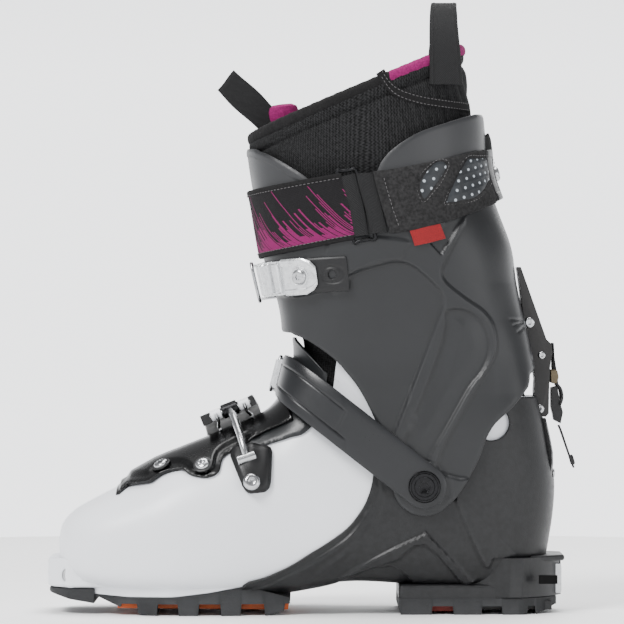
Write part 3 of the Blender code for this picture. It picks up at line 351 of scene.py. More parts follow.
def tube_faces(count, sides, closed=False, start=0):
    """The faces of count rings of points, joined end to end or capped."""
    faces = []
    for i in range(count if closed else count - 1):
        for j in range(sides):
            k = (j + 1) % sides
            one, other = start + i * sides, start + (i + 1) % count * sides
            faces.append((one + j, one + k, other + k, other + j))
    if not closed:
        last = start + (count - 1) * sides
        faces += [tuple(range(start, start + sides))[::-1], tuple(range(last, last + sides))]
    return faces


def walled(points, normals, faces, wall, edge):
    """An open sheet made into a closed wall with rounded edges: points, faces, and each point's origin."""
    count = len(points)
    corners = [(a, b) for face in faces for a, b in zip(face, (*face[1:], face[0]))]
    code = np.array([a * count + b for a, b in corners])
    back = np.array([b * count + a for a, b in corners])
    open_edges = [corners[i] for i in np.flatnonzero(~np.isin(code, back))]
    outward = np.zeros_like(points)
    for a, b in open_edges:
        push = np.cross(points[b] - points[a], normals[a])
        outward[a] += push
        outward[b] += push
    rim = sorted({i for pair in open_edges for i in pair})
    outward = unit(outward)
    wall = np.broadcast_to(np.asarray(wall, float), (count,))
    sheets, origin = [points, points - normals * wall[:, None]], [np.arange(count), np.arange(count)]
    loops, start = [], 2 * count
    steps = (0.35, 0.7, 1.0) if edge > 0 else ()
    for share in steps:
        turn = share * PI / 2
        over, under = edge * math.sin(turn), edge * (1 - math.cos(turn))
        moved = points[rim] + outward[rim] * over - normals[rim] * under
        sheets.append(moved)
        origin.append(np.array(rim))
        loops.append({point: start + i for i, point in enumerate(rim)})
        start += len(rim)
    made = list(faces) + [tuple(i + count for i in face[::-1]) for face in faces]
    rings = [{i: i for i in rim}, *loops, {i: i + count for i in rim}]
    for a, b in open_edges:
        for upper, lower in zip(rings, rings[1:]):
            made.append((upper[b], upper[a], lower[a], lower[b]))
    return np.concatenate(sheets), made, np.concatenate(origin)


def spacing(point):
    """The larger step to a neighbour at each place of a grid."""
    down = np.linalg.norm(np.diff(point, axis=0), axis=-1)
    over = np.linalg.norm(np.diff(point, axis=1), axis=-1)
    down = np.concatenate([down, down[-1:]])
    over = np.concatenate([over, over[:, -1:]], 1)
    return np.maximum(down, over)


def sculpt(name, surface, rows, columns, look, body, lift=0.0, wall=2.0, edge=0.4, outline=None, side=None,
           wrap=False, nodes=(), mask=None, solid=True, strip=None):
    """A fine sheet on a surface, trimmed to a side-view outline, lifted by its relief and given a wall."""
    along, around = np.meshgrid(rows, columns, indexing="ij")
    point, normal = surface(along, around)
    gap = np.full(along.shape, 99.0)
    if outline is not None:
        cell = spacing(point)
        gap, nearest = to_line(outline, point[..., 0], point[..., 2])
        snap = np.abs(gap) < 0.62 * cell
        point[..., 0] = np.where(snap, nearest[..., 0], point[..., 0])
        point[..., 2] = np.where(snap, nearest[..., 1], point[..., 2])
        gap = np.where(snap, 0.0, gap)
    kept = gap >= 0
    if side is not None:
        kept &= point[..., 1] * side > 0
    if mask is not None:
        kept &= mask(point)
    height = lift(point, gap, along, around) if callable(lift) else lift
    out = point + normal * np.broadcast_to(height, along.shape)[..., None]
    tall, wide = along.shape
    index = np.arange(tall * wide).reshape(tall, wide)
    right = np.roll(index, -1, 1)
    last = wide if wrap else wide - 1
    quads = np.stack([index[:-1, :last], index[1:, :last], right[1:, :last], right[:-1, :last]],
                     -1).reshape(-1, 4)
    fine = kept.ravel()[quads]
    whole = quads[fine.all(1)]
    part = quads[fine.sum(1) == 3]
    cut = part[kept.ravel()[part]].reshape(-1, 3)
    flat, across = out.reshape(-1, 3), normal.reshape(-1, 3)
    probe = whole[len(whole) // 2]
    facing = np.cross(flat[probe[2]] - flat[probe[0]], flat[probe[3]] - flat[probe[1]]) @ across[probe[0]]
    faces = [tuple(f) for f in whole.tolist()] + [tuple(f) for f in cut.tolist()]
    if facing < 0:
        faces = [f[::-1] for f in faces]
    used = np.unique(np.concatenate([whole.ravel(), cut.ravel()]))
    renumber = np.full(tall * wide, -1)
    renumber[used] = np.arange(len(used))
    faces = [tuple(int(renumber[i]) for i in f) for f in faces]
    flat, across = flat[used], across[used]
    if strip is None:
        note = np.stack([around, along, 0 * along], -1)
    else:
        note = strip(along, around)
    note = note.reshape(-1, 3)[used]
    if solid:
        thick = wall(point, gap).ravel()[used] if callable(wall) else wall
        flat, faces, origin = walled(flat, across, faces, thick, edge)
        note = note[origin]
    return add_piece(name, mesh_of(name, flat, faces, note), look, body, nodes)


def axes_of(axis, hint=(0, 0, 1)):
    """Two directions square to an axis."""
    axis = unit(axis)
    if abs(np.dot(axis, hint)) > 0.95:
        hint = (1, 0, 0)
    side = unit(np.cross(axis, hint))
    return side, np.cross(axis, side)


def turned(name, profile, at, axis, look, body, sides=40, nodes=(), ring=False, hexes=(), stars=()):
    """A profile of (radius, height) points turned about an axis; rows named in hexes are six-sided."""
    axis = unit(axis)
    side, up = axes_of(axis)
    at = np.asarray(at, float)
    turns = np.arange(sides) * 2 * PI / sides
    six = 1 / np.cos((turns % (PI / 3)) - PI / 6) * math.cos(PI / 6)
    star = 1 + 0.14 * np.cos(6 * turns)
    points, rows = [], []
    for place, (radius, height) in enumerate(profile):
        start = len(points)
        if radius == 0:
            points.append(at + axis * height)
            rows.append([start] * sides)
            continue
        reach = radius * (six if place in hexes else star if place in stars else np.ones(sides))
        for turn, far in zip(turns, reach):
            points.append(at + axis * height + (side * math.cos(turn) + up * math.sin(turn)) * far)
        rows.append([start + i for i in range(sides)])
    faces = []
    pairs = list(zip(rows, rows[1:])) + ([(rows[-1], rows[0])] if ring else [])
    for lower, upper in pairs:
        for i in range(sides):
            k = (i + 1) % sides
            face = tuple(dict.fromkeys((lower[i], lower[k], upper[k], upper[i])))
            if len(face) > 2:
                faces.append(face)
    return closed_piece(name, points, faces, look, body, nodes)


def screw(name, at, axis, look, body, radius, height, nodes=(), depth=2.0, star=True):
    """A domed screw head with a socket, and a short shank behind it."""
    socket = radius * 0.42
    profile = ((0, -depth), (radius * 0.5, -depth), (radius * 0.5, -0.1), (radius * 0.94, -0.1),
               (radius, 0.15),
               (radius, height * 0.35), (radius * 0.96, height * 0.55), (radius * 0.82, height * 0.84),
               (radius * 0.62, height * 0.98), (socket * 1.15, height), (socket, height * 0.93),
               (socket * 0.97, height * 0.3), (socket * 0.4, height * 0.18), (0, height * 0.18))
    rows = (10, 11)
    return turned(name, profile, at, axis, look, body, 48, nodes, hexes=() if star else rows,
                  stars=rows if star else ())


def wire(name, path, radius, look, body, nodes=(), closed=False, sides=14, fine=6):
    """A round wire on a smooth curve through the path's points."""
    path = smooth(path, fine, closed)
    count = len(path)
    ahead = np.roll(path, -1, 0) - np.roll(path, 1, 0)
    if not closed:
        ahead[0], ahead[-1] = path[1] - path[0], path[-1] - path[-2]
    ahead = unit(ahead)
    side = axes_of(ahead[0])[0]
    points = []
    for i in range(count):
        side = unit(side - ahead[i] * np.dot(side, ahead[i]))
        up = np.cross(ahead[i], side)
        for j in range(sides):
            turn = 2 * PI * j / sides
            points.append(path[i] + radius * (side * math.cos(turn) + up * math.sin(turn)))
    return closed_piece(name, points, tube_faces(count, sides, closed), look, body, nodes)


def bar(name, path, side, up, width, tall, power, sides, pitch, look, body):
    """A soft bar of rounded section along a path; width and tall may change along it."""
    count = len(path)
    width, tall = np.broadcast_to(width, count), np.broadcast_to(tall, count)
    run = run_along(path)
    points, strip = [], []
    for i, place in enumerate(path):
        for j in range(sides):
            turn = 2 * PI * j / sides
            points.append(place + side[i] * width[i] * signed_power(math.cos(turn), power)
                          + up[i] * tall[i] * signed_power(math.sin(turn), power))
            strip.append((run[i], j * pitch, 0))
    return closed_piece(name, points, tube_faces(count, sides), look, body, strip=strip)


def bevelled(made, width, segments=3, angle=30):
    """Rounded edges, by a modifier."""
    change = made.modifiers.new("edges", "BEVEL")
    change.width = width * MM
    change.segments = segments
    change.limit_method = "ANGLE"
    change.angle_limit = math.radians(angle)
    change.harden_normals = True
    return made


def prism(name, outline, low, high, look, body, direction="Y", nodes=(), width=0.6, segments=3):
    """An outline pushed along an axis, with rounded edges."""
    points = []
    for level in (low, high):
        for first, second in outline:
            points.append((first, level, second) if direction == "Y" else (first, second, level))
    count = len(outline)
    faces = [tuple(range(count)), tuple(range(count, 2 * count))]
    faces += [(i, (i + 1) % count, (i + 1) % count + count, i + count) for i in range(count)]
    return bevelled(closed_piece(name, points, faces, look, body, nodes), width, segments)


def dress(node, look, width=0.5, segments=3, angle=28):
    """A copy of a CAD node's solid with rounded edges."""
    mesh = frame["nodes"][node].data.copy()
    mesh.materials.clear()
    work = bmesh.new()
    work.from_mesh(mesh)
    bmesh.ops.remove_doubles(work, verts=work.verts, dist=1e-6)
    bmesh.ops.dissolve_limit(work, angle_limit=math.radians(1.0), verts=work.verts, edges=work.edges)
    work.to_mesh(mesh)
    work.free()
    made = add_piece(f"{node}_finish", mesh, look, BODY_OF[node], (node,))
    return bevelled(made, width, segments, angle)


# ---------------------------------------------------------------- materials

class Paint:
    """A Principled material, and short ways to add texture nodes to it."""

    def __init__(self, name, colour, rough, metallic=0.0, **sockets):
        self.material = bpy.data.materials.new(name)
        self.material.use_nodes = True
        self.tree = self.material.node_tree
        self.shader = self.tree.nodes["Principled BSDF"]
        self.colour = colour
        self.shader.inputs["Base Color"].default_value = (*colour, 1)
        self.shader.inputs["Roughness"].default_value = rough
        self.shader.inputs["Metallic"].default_value = metallic
        for socket, value in sockets.items():
            self.shader.inputs[socket.replace("_", " ")].default_value = value
        self.rough = rough

    def node(self, kind, inputs=None, **settings):
        made = self.tree.nodes.new(kind)
        for key, value in settings.items():
            setattr(made, key, value)
        for key, value in (inputs or {}).items():
            if isinstance(value, bpy.types.NodeSocket):
                self.tree.links.new(value, made.inputs[key])
            else:
                made.inputs[key].default_value = value
        return made

    def place(self, scale=(1, 1, 1)):
        """Object coordinates in metres, stretched."""
        source = self.node("ShaderNodeTexCoord").outputs["Object"]
        if scale == (1, 1, 1):
            return source
        return self.node("ShaderNodeMapping", {"Vector": source, "Scale": scale}).outputs[0]

    def strip(self):
        """Millimetres along and across a strip, as three outputs."""
        source = self.node("ShaderNodeAttribute", attribute_name="strip").outputs["Vector"]
        return self.node("ShaderNodeSeparateXYZ", {0: source}).outputs

    def noise(self, scale, detail=3.0, vector=None, distortion=0.0):
        return self.node("ShaderNodeTexNoise", {"Vector": vector or self.place(), "Scale": scale,
                                                "Detail": detail, "Distortion": distortion}).outputs[0]

    def math(self, operation, *values):
        return self.node("ShaderNodeMath", dict(enumerate(values)), operation=operation).outputs[0]

    def plus(self, one, other):
        return self.math("ADD", one, other)

    def minus(self, one, other):
        return self.math("SUBTRACT", one, other)

    def times(self, one, other):
        return self.math("MULTIPLY", one, other)

    def ranged(self, value, low, high, to_low=0.0, to_high=1.0):
        return self.node("ShaderNodeMapRange", {0: value, 1: low, 2: high, 3: to_low, 4: to_high}).outputs[0]

    def mix(self, factor, one, other):
        made = self.node("ShaderNodeMix", data_type="RGBA")
        for socket, value in ((made.inputs[0], factor), (made.inputs[6], one), (made.inputs[7], other)):
            if isinstance(value, bpy.types.NodeSocket):
                self.tree.links.new(value, socket)
            else:
                socket.default_value = value if isinstance(value, float) else (*value[:3], 1)
        return made.outputs[2]

    def shade(self, amount):
        return tuple(max(0.0, channel * amount) for channel in self.colour)

    def paint(self, colour=None, rough=None):
        if colour is not None:
            self.tree.links.new(colour, self.shader.inputs["Base Color"])
        if rough is not None:
            self.tree.links.new(rough, self.shader.inputs["Roughness"])
        return self

    def bump(self, height, distance, strength=1.0):
        made = self.node("ShaderNodeBump", {"Height": height, "Distance": distance, "Strength": strength})
        self.tree.links.new(made.outputs[0], self.shader.inputs["Normal"])
        return self

    def wear_highlight_and_shade(self, colour, amount, lighter=2.2, start=0.52, end=0.60):
        """Edges paler where they stick out, partly wear and partly a painted highlight, and painted shade
        darkening the creases.
        """
        point = self.node("ShaderNodeNewGeometry").outputs["Pointiness"]
        # Paler edges where pointiness is high: wear, and a painted highlight that brings out the relief.
        rub_and_highlight = self.ranged(point, start, end, 0.0, amount)
        # Painted shade: creases and hollows, where pointiness is low, darkened towards a quarter of the
        # colour.
        colour = self.mix(self.ranged(point, 0.455, 0.493, amount * 2.0, 0.0), colour, self.shade(0.25))
        return self.mix(rub_and_highlight, colour, tuple(min(1.0, c * lighter + 0.02) for c in self.colour))


def plastic(name, colour, rough, mottle=0.10, size=22, grain=0.00006, grain_size=0.7, wear_and_shade=0.25, spread=0.10,
            metallic=0.0, **sockets):
    """Moulded plastic: slow colour drift, uneven gloss, fine grain, rubbed edges with a painted highlight,
    and painted shade in creases.
    """
    made = Paint(name, colour, rough, metallic, **sockets)
    slow = made.noise(1000 / size, 4.0)
    tone = made.mix(made.ranged(slow, 0.3, 0.7), made.shade(1 - mottle), made.shade(1 + mottle))
    # One amount sets both the rubbed, highlighted edges and the painted shade in creases.
    if wear_and_shade:
        tone = made.wear_highlight_and_shade(tone, wear_and_shade)
    fine = made.noise(1000 / grain_size, 2.0)
    gloss = made.plus(made.ranged(slow, 0.3, 0.7, rough - spread / 2, rough + spread / 2),
                      made.ranged(fine, 0.3, 0.7, -0.03, 0.03))
    made.paint(tone, gloss)
    return made.bump(fine, grain).material


def metal(name, colour, rough, streak=(1, 1, 12), spread=0.12, dents=0.00003, size=0.9, metallic=1.0,
          **sockets):
    """Metal with fine streaks along one direction and small dents."""
    made = Paint(name, colour, rough, metallic, **sockets)
    lines = made.noise(120, 2.0, made.place(streak))
    fine = made.noise(1000 / size, 3.0)
    tone = made.mix(made.ranged(lines, 0.3, 0.7), made.shade(0.82), made.shade(1.08))
    made.paint(tone, made.ranged(lines, 0.3, 0.7, rough - spread / 2, rough + spread / 2))
    return made.bump(fine, dents).material


def twill(name, colour, rough=0.85, pitch=0.85, depth=0.00025, pale=1.9, **sockets):
    """Woven webbing: diagonal ribs with threads across them, on strip coordinates."""
    made = Paint(name, colour, rough, **sockets)
    u, v, _ = made.strip()
    turn = 2 * PI / pitch
    slant = made.math("SINE", made.times(made.plus(u, v), turn))
    thread = made.math("SINE", made.times(made.minus(u, v), turn * 1.9))
    weave = made.plus(made.times(slant, 0.7), made.times(thread, 0.3))
    fuzz = made.noise(2200, 2.0)
    height = made.plus(weave, made.times(fuzz, 0.8))
    tone = made.mix(made.ranged(height, -0.6, 1.4), made.shade(0.45), made.shade(pale))
    made.paint(tone)
    return made.bump(height, depth * 0.4).material


def knit(name, colour, rough=0.92, **sockets):
    """Wavy knit: columns of small wavy stitches, on strip coordinates."""
    made = Paint(name, colour, rough, **sockets)
    u, v, _ = made.strip()
    sway = made.math("SINE", made.times(v, 2 * PI / 1.7))
    column = made.plus(made.times(u, 2 * PI / 1.25), made.times(sway, 1.1))
    stitch = made.times(made.math("SINE", column), 0.55)
    fuzz = made.noise(900, 3.0)
    height = made.plus(stitch, made.times(fuzz, 3.0))
    tone = made.mix(made.ranged(height, 0.7, 2.3), made.shade(0.3), made.shade(2.6))
    made.paint(tone)
    return made.bump(height, 0.00016).material


def soft(name, colour, rough=0.9, size=0.9, depth=0.00012, pale=1.5, **sockets):
    """A plain brushed fabric."""
    made = Paint(name, colour, rough, **sockets)
    fuzz = made.noise(1000 / size, 4.0)
    slow = made.noise(35, 3.0)
    tone = made.mix(made.ranged(fuzz, 0.3, 0.7), made.shade(0.6), made.shade(pale))
    tone = made.mix(made.ranged(slow, 0.35, 0.7, 0.0, 0.35), tone, made.shade(0.7))
    made.paint(tone)
    return made.bump(fuzz, depth).material


MAGENTA = (0.16, 0.010, 0.075)


def printed():
    """The power strap's cloth: a dark weave with streaks that rise from its lower edge."""
    made = Paint("printed_strap", (0.0068, 0.0064, 0.0070), 0.82, Specular_IOR_Level=0.15)
    u, v, _ = made.strip()
    rise = made.plus(v, 15.2)
    lane = made.minus(u, made.times(made.math("POWER", rise, 0.62), 3.4))
    shares = []
    for pitch, seed, tall, part in ((3.3, 3.1, 13.0, 0.30), (1.9, 17.7, 20.0, 0.26), (1.2, 40.2, 31.0, 0.24),
                                    (5.1, 71.4, 7.0, 0.34)):
        step = made.math("DIVIDE", lane, pitch)
        index = made.math("FLOOR", step)
        one = made.node("ShaderNodeTexWhiteNoise", {"W": made.plus(index, seed)},
                        noise_dimensions="1D").outputs["Value"]
        reach = made.times(made.math("POWER", one, 2.0), tall)
        inside = made.math("LESS_THAN", rise, reach)
        away = made.math("ABSOLUTE", made.minus(made.math("FRACT", step), 0.5))
        shares.append(made.times(made.math("LESS_THAN", away, part), inside))
    streak = made.math("MAXIMUM", made.math("MAXIMUM", shares[0], shares[1]),
                       made.math("MAXIMUM", shares[2], shares[3]))
    inner = made.math("LESS_THAN", made.math("ABSOLUTE", v), 14.4)
    streak = made.times(streak, inner)
    turn = 2 * PI / 0.8
    weave = made.plus(made.math("SINE", made.times(made.plus(u, v), turn)),
                      made.times(made.noise(2000, 2.0), 1.2))
    cloth = made.mix(made.ranged(weave, -0.6, 1.8), made.shade(0.4), made.shade(2.4))
    ink = made.mix(made.ranged(weave, -0.6, 1.8), tuple(c * 0.75 for c in MAGENTA),
                   tuple(c * 1.35 for c in MAGENTA))
    made.paint(made.mix(streak, cloth, ink))
    return made.bump(weave, 0.0001).material


def perforated():
    """Grey sheet with a regular field of pale round holes."""
    made = Paint("dotted_window", (0.015, 0.017, 0.020), 0.42, Specular_IOR_Level=0.3)
    u, v, _ = made.strip()
    row = made.math("DIVIDE", v, 4.6)
    shift = made.times(made.math("MODULO", made.math("ABSOLUTE", made.math("FLOOR", row)), 2.0), 0.5)
    column = made.plus(made.math("DIVIDE", u, 5.2), shift)
    dx = made.times(made.minus(made.math("FRACT", column), 0.5), 5.2)
    dy = made.times(made.minus(made.math("FRACT", row), 0.5), 4.6)
    apart = made.math("SQRT", made.plus(made.times(dx, dx), made.times(dy, dy)))
    dot = made.ranged(apart, 0.62, 0.92, 1.0, 0.0)
    slow = made.noise(90, 3.0)
    base = made.mix(made.ranged(slow, 0.3, 0.7), made.shade(0.6), made.shade(1.3))
    made.paint(made.mix(dot, base, (0.34, 0.37, 0.40)))
    return made.bump(apart, 0.00008).material


WHITE = plastic("white_shell", (0.70, 0.715, 0.745), 0.36, mottle=0.02, size=60, grain=0.00001, wear_and_shade=0.0,
                spread=0.05)
CUFF_LOOK = plastic("cuff_plastic", (0.0108, 0.0113, 0.0123), 0.38, mottle=0.10, size=40, grain=0.000025,
                    wear_and_shade=0.25,
                    Specular_IOR_Level=0.32)
BAND_LOOK = plastic("band_plastic", (0.0095, 0.0100, 0.0112), 0.34, mottle=0.08, size=30, grain=0.00003,
                    wear_and_shade=0.3,
                    Specular_IOR_Level=0.32)
FRAME_LOOK = plastic("fibre_plastic", (0.0072, 0.0074, 0.0080), 0.42, mottle=0.40, size=3.2, grain=0.00006,
                     wear_and_shade=0.3,
                     Specular_IOR_Level=0.3)
GREY = plastic("spoiler_plastic", (0.016, 0.0165, 0.018), 0.42, mottle=0.08, size=30, grain=0.00002,
               wear_and_shade=0.15,
               Specular_IOR_Level=0.4)
GLOSS = plastic("gloss_black", (0.0022, 0.0022, 0.0024), 0.24, mottle=0.05, grain=0.000006, wear_and_shade=0.1,
                spread=0.06,
                Specular_IOR_Level=0.3)
TONGUE = plastic("tongue_plastic", (0.010, 0.011, 0.012), 0.36, mottle=0.1, grain=0.00002, wear_and_shade=0.2,
                 Specular_IOR_Level=0.35)
BLACK = plastic("black_plastic", (0.005, 0.005, 0.0055), 0.40, mottle=0.2, size=6, grain=0.00005, wear_and_shade=0.3,
                Specular_IOR_Level=0.3)
LEVER = plastic("lever_plastic", (0.0075, 0.0066, 0.0064), 0.38, mottle=0.2, size=8, grain=0.00004, wear_and_shade=0.3,
                Specular_IOR_Level=0.35)
# Painted shade: a near-black that stands for the dark inside of slots and holes.
SHADE_BLACK = plastic("painted_slot_shade", (0.0012, 0.0012, 0.0013), 0.6, grain=0.00004, wear_and_shade=0.0, Specular_IOR_Level=0.1)
RUBBER = plastic("tread_rubber", (0.014, 0.0145, 0.0155), 0.70, mottle=0.25, size=4, grain=0.00012,
                 grain_size=0.9,
                 wear_and_shade=0.3, Specular_IOR_Level=0.3)
ORANGE = plastic("sole_core", (0.50, 0.085, 0.010), 0.6, mottle=0.15, size=9, grain=0.00008, wear_and_shade=0.0)
DEEP_RED = plastic("heel_core", (0.16, 0.012, 0.006), 0.6, mottle=0.2, size=9, grain=0.00008, wear_and_shade=0.0)
STEEL = metal("bright_steel", (0.46, 0.465, 0.475), 0.24, streak=(2, 2, 2), spread=0.06)
WIRE = metal("spring_wire", (0.36, 0.365, 0.375), 0.22, streak=(4, 4, 4))
GUNMETAL = metal("dark_steel", (0.020, 0.020, 0.021), 0.30, streak=(6, 1, 6), size=0.7, dents=0.00005)
CAST = metal("cast_silver", (0.62, 0.63, 0.64), 0.30, streak=(3, 3, 3), size=1.6, dents=0.0001, metallic=0.85)
ROLLER = plastic("white_roller", (0.80, 0.81, 0.84), 0.4, mottle=0.03, grain=0.00002, wear_and_shade=0.0)
KNIT = knit("liner_knit", (0.0078, 0.0078, 0.0081), Specular_IOR_Level=0.15)
RIM = soft("rim_cloth", (0.0085, 0.0082, 0.0085), Specular_IOR_Level=0.15)
LINING = soft("lining_cloth", (0.19, 0.010, 0.085), pale=1.25, Specular_IOR_Level=0.15)
WEBBING = twill("webbing", (0.0118, 0.0118, 0.0122), Specular_IOR_Level=0.15)
FELT = soft("pad_cloth", (0.0135, 0.0132, 0.0135), size=1.5, depth=0.0002, pale=1.9, Specular_IOR_Level=0.15)
STRAP = printed()
DOTS = perforated()
RED = soft("red_label", (0.19, 0.001, 0.003), size=0.5, depth=0.00005, pale=1.15)
BRONZE = metal("bronze_buckle", (0.11, 0.09, 0.06), 0.42)
THREAD = soft("thread", (0.085, 0.082, 0.084), size=0.4, depth=0.00003, pale=1.2)
BRAID = soft("cord_braid", (0.02, 0.02, 0.021), size=0.6, depth=0.0001)


# ---------------------------------------------------------------- lower shell, frame and sole

SHELL_FRONT_X = -204.6
SOCKET_X, SOCKET_Y, SOCKET_Z = -191.2, 30.2, 21.2
THROAT = ((-230, -20), (-230, 130), (-96, 130), (-96, 100), (-62, 101), (-50, 112), (-46, 146), (-18, 146),
          (12, 132), (50, 118), (100, 116), (100, -20))
FRAME_EDGE = smooth(((-99.5, 2), (-97.7, 16.4), (-86, 20.8), (-72.2, 27), (-62, 33.2), (-51.7, 39.4),
                     (-41.3, 47), (-34.5, 55.2), (-30.3, 62.7), (-27.3, 72.7), (-26, 86), (-21, 101),
                     (-8, 112)), 3)
MOON = [(36 + 10 * math.sin(t), 104 + 10 * math.cos(t)) for t in np.linspace(-0.02, 0.02 - 2 * PI, 36)]
FRAME_OUTLINE = [*map(tuple, FRAME_EDGE), (12, 117), (35.8, 117), *MOON, (36.2, 117), (90, 117), (90, -20),
                 (-99.5, -20)]
RIB_UPPER = smooth(((-45.1, 22.6), (-36.3, 27.2), (-17.7, 36.1), (0.0, 43.7), (2.3, 43.3), (24.2, 22.0),
                    (27.5, 21.2)), 3)
RIB_LOWER = smooth(((-14.0, 31.0), (0.0, 38.7), (20.4, 19.3), (25.1, 18.9)), 3)
RIB_HEEL = smooth(((17.2, 62.1), (22.3, 49.1), (32.5, 27.7), (36.2, 31.4), (38.1, 31.6)), 3)
EDGE_LINES = (((-67.0, 24.9), (-53.0, 32.4), (-41.9, 40.7), (-33.5, 51.9), (-27.9, 62.1), (-26.1, 70.5)),
              ((-67.0, 17.5), (-53.0, 26.8), (-40.0, 36.1), (-29.8, 47.2), (-24.2, 59.3), (-22.3, 67.7)))
LOWER_PANEL = ((-72.6, 11.4), (-48.4, 18.4), (-29.8, 25.9), (-16.8, 27.7), (-12.1, 24.9), (4.6, 9.6), (4, 0),
               (-80, 0))


def nose_at(along, around):
    """The foot's surface, with a shallow dome that closes its toe for stations below 0."""
    point, normal = FOOT.at(np.maximum(along, 0.0), around)
    share = np.cos(np.clip(-along, 0, 0.985) * PI / 2)
    middle = np.array((-198.8, 0.0, 37.0))
    bulge = np.stack([-0.4 * (1 - share), 0 * share, 0 * share], -1)
    point = middle + (point - middle) * share[..., None] + bulge
    return point, unit(normal * share[..., None] + np.array((-1.0, 0, 0)) * (1 - share)[..., None])


def lower_shell():
    """The white shell, its welt round the toe, and the pin sockets in it."""
    rows = np.r_[np.linspace(-1, 0, 14)[:-1], np.linspace(0, 15, 340)]
    sculpt("shell_skin", nose_at, rows, even_columns(FOOT.at, (3, 6, 9), 300), WHITE, "shell", 0.0, 2.6,
           0.4, THROAT, wrap=True, nodes=("lower_shell",))
    outline = []
    for x in SHELL_FRONT_X + 32.6 * (1 - np.sin(np.linspace(0, PI / 2, 22))):
        outline.append((x, 14 + 17.5 * math.sqrt(max(0.0, min(1.0, (x - SHELL_FRONT_X) / 12)))))
    plan = [(x, -y) for x, y in outline] + [(x, y) for x, y in outline[::-1]]
    prism("toe_welt", plan, 14.6, 30.4, WHITE, "shell", "Z", width=1.8, segments=4)
    for name, side in (("near", NEAR), ("far", FAR)):
        turned(f"toe_socket_{name}", ((0, -5.2), (1.4, -5.2), (3.2, -0.6), (3.5, 0.1), (4.5, 0.2),
                                      (4.8, -0.3),
                                      (4.8, -8), (0, -8)), (SOCKET_X, side * SOCKET_Y, SOCKET_Z),
               (0, side, 0),
               STEEL, "shell", 40, ("toe_fitting",))
        turned(f"toe_boss_{name}", ((5.0, -6), (6.9, -6), (6.9, -0.9), (6.3, -0.3), (5.0, -0.3)),
               (SOCKET_X, side * SOCKET_Y, SOCKET_Z), (0, side, 0), WHITE, "shell", 40, ring=True)


def frame_lift(point, gap, along, around):
    """The frame's wall, lines along its edge, ribs and panel."""
    x, z = point[..., 0], point[..., 2]
    edge = to_line(FRAME_EDGE, x, z, closed=False)[0]
    lift = 2.3 - 0.75 * (1 - ramp(edge, 2.8, 3.5)) * (z > 12)
    for line, height, width in ((EDGE_LINES[0], 0.5, 0.8), (EDGE_LINES[1], 0.4, 1.2)):
        lift = lift + ridge(smooth(line, 3), x, z, height, width)
    chevron = np.concatenate([RIB_UPPER, RIB_LOWER[::-1]])
    lift = lift + 1.5 * ramp(to_line(chevron, x, z)[0], -0.7, 0.8) + ridge(RIB_UPPER, x, z, 0.5, 0.8)
    heel = [*map(tuple, RIB_HEEL), (80, 31), (80, 130), (14, 130), (12, 76)]
    lift = lift + 1.0 * ramp(to_line(heel, x, z)[0], -0.8, 0.8) * (1 - ramp(z, 66, 90))
    lift = lift + ridge(RIB_HEEL, x, z, 0.9, 1.1)
    lift = lift + sunk(LOWER_PANEL, x, z, 1.3, 1.0)
    return lift


def heel_frame():
    """The dark frame round the heel, with the block under it and the heel fitting."""
    sculpt("frame_skin", FOOT.at, np.linspace(4.6, 15, 300), even_columns(FOOT.at, (7, 10, 13), 400),
           FRAME_LOOK, "shell", frame_lift, 2.0, 0.6, FRAME_OUTLINE, wrap=True, nodes=("heel_frame",),
           mask=lambda point: (np.abs(point[..., 1]) > 14.6) | (point[..., 0] < 30) | (point[..., 2] < 74))

    def half(x):
        return (28 + 6.5 * float(ramp(x, 18, 46))) * min(1.0, math.sqrt(max(0.03, (75.9 - x) / 22)))

    stations = np.r_[np.linspace(18, 50, 24), 75.9 - 25.9 * (1 - np.linspace(0, 1, 22)) ** 1.6]
    stations = np.unique(np.round(stations, 3))
    plan = [(x, -half(x)) for x in stations] + [(x, half(x)) for x in stations[::-1]]
    prism("heel_block", plan, 9.3, 30.7, FRAME_LOOK, "shell", "Z", width=1.3)
    prism("heel_front", [(-13.6, -33.2), (44, -33.4), (44, 33.4), (-13.6, 33.2)], 7.0, 16.5, FRAME_LOOK,
          "shell",
          "Z", width=2.2)
    prism("heel_step", [(58, -30), (77.4, -15), (77.4, 15), (58, 30)], 28.3, 31.6, FRAME_LOOK, "shell", "Z",
          width=1.2)
    dress("heel_fitting", STEEL, 0.5)
    screw("heel_fitting_bolt", (74.4, 0, 18.4), (1, 0, 0), STEEL, "shell", 3.8, 1.6, ("heel_fitting_screw",))
    # A near-black plate painting the shade inside the heel fitting's slot.
    prism("fitting_slot_shade", [(62.5, 16.8), (72.4, 16.8), (72.4, 21.4), (62.5, 21.4)], -34.75, -30, SHADE_BLACK,
          "shell",
          width=0.2)


def tread(name, bottom, top, half, look, nodes=()):
    """A rubber sole: a lugged bottom line, a top line and a half-width for each place along it."""
    ends = np.linspace(bottom[0][0], bottom[-1][0], 60)
    xs = np.array(sorted({round(x, 3) for x, _ in bottom} | {round(x, 3) for x in ends}))
    low, high, side = (np.interp(xs, *np.array(line).T) for line in (bottom, top, half))
    points = []
    for x, z0, z1, y in zip(xs, low, high, side):
        points += [(x, -y, z0), (x, y, z0), (x, y, z1), (x, -y, z1)]
    return bevelled(closed_piece(name, points, tube_faces(len(xs), 4), look, "shell", nodes), 0.5)


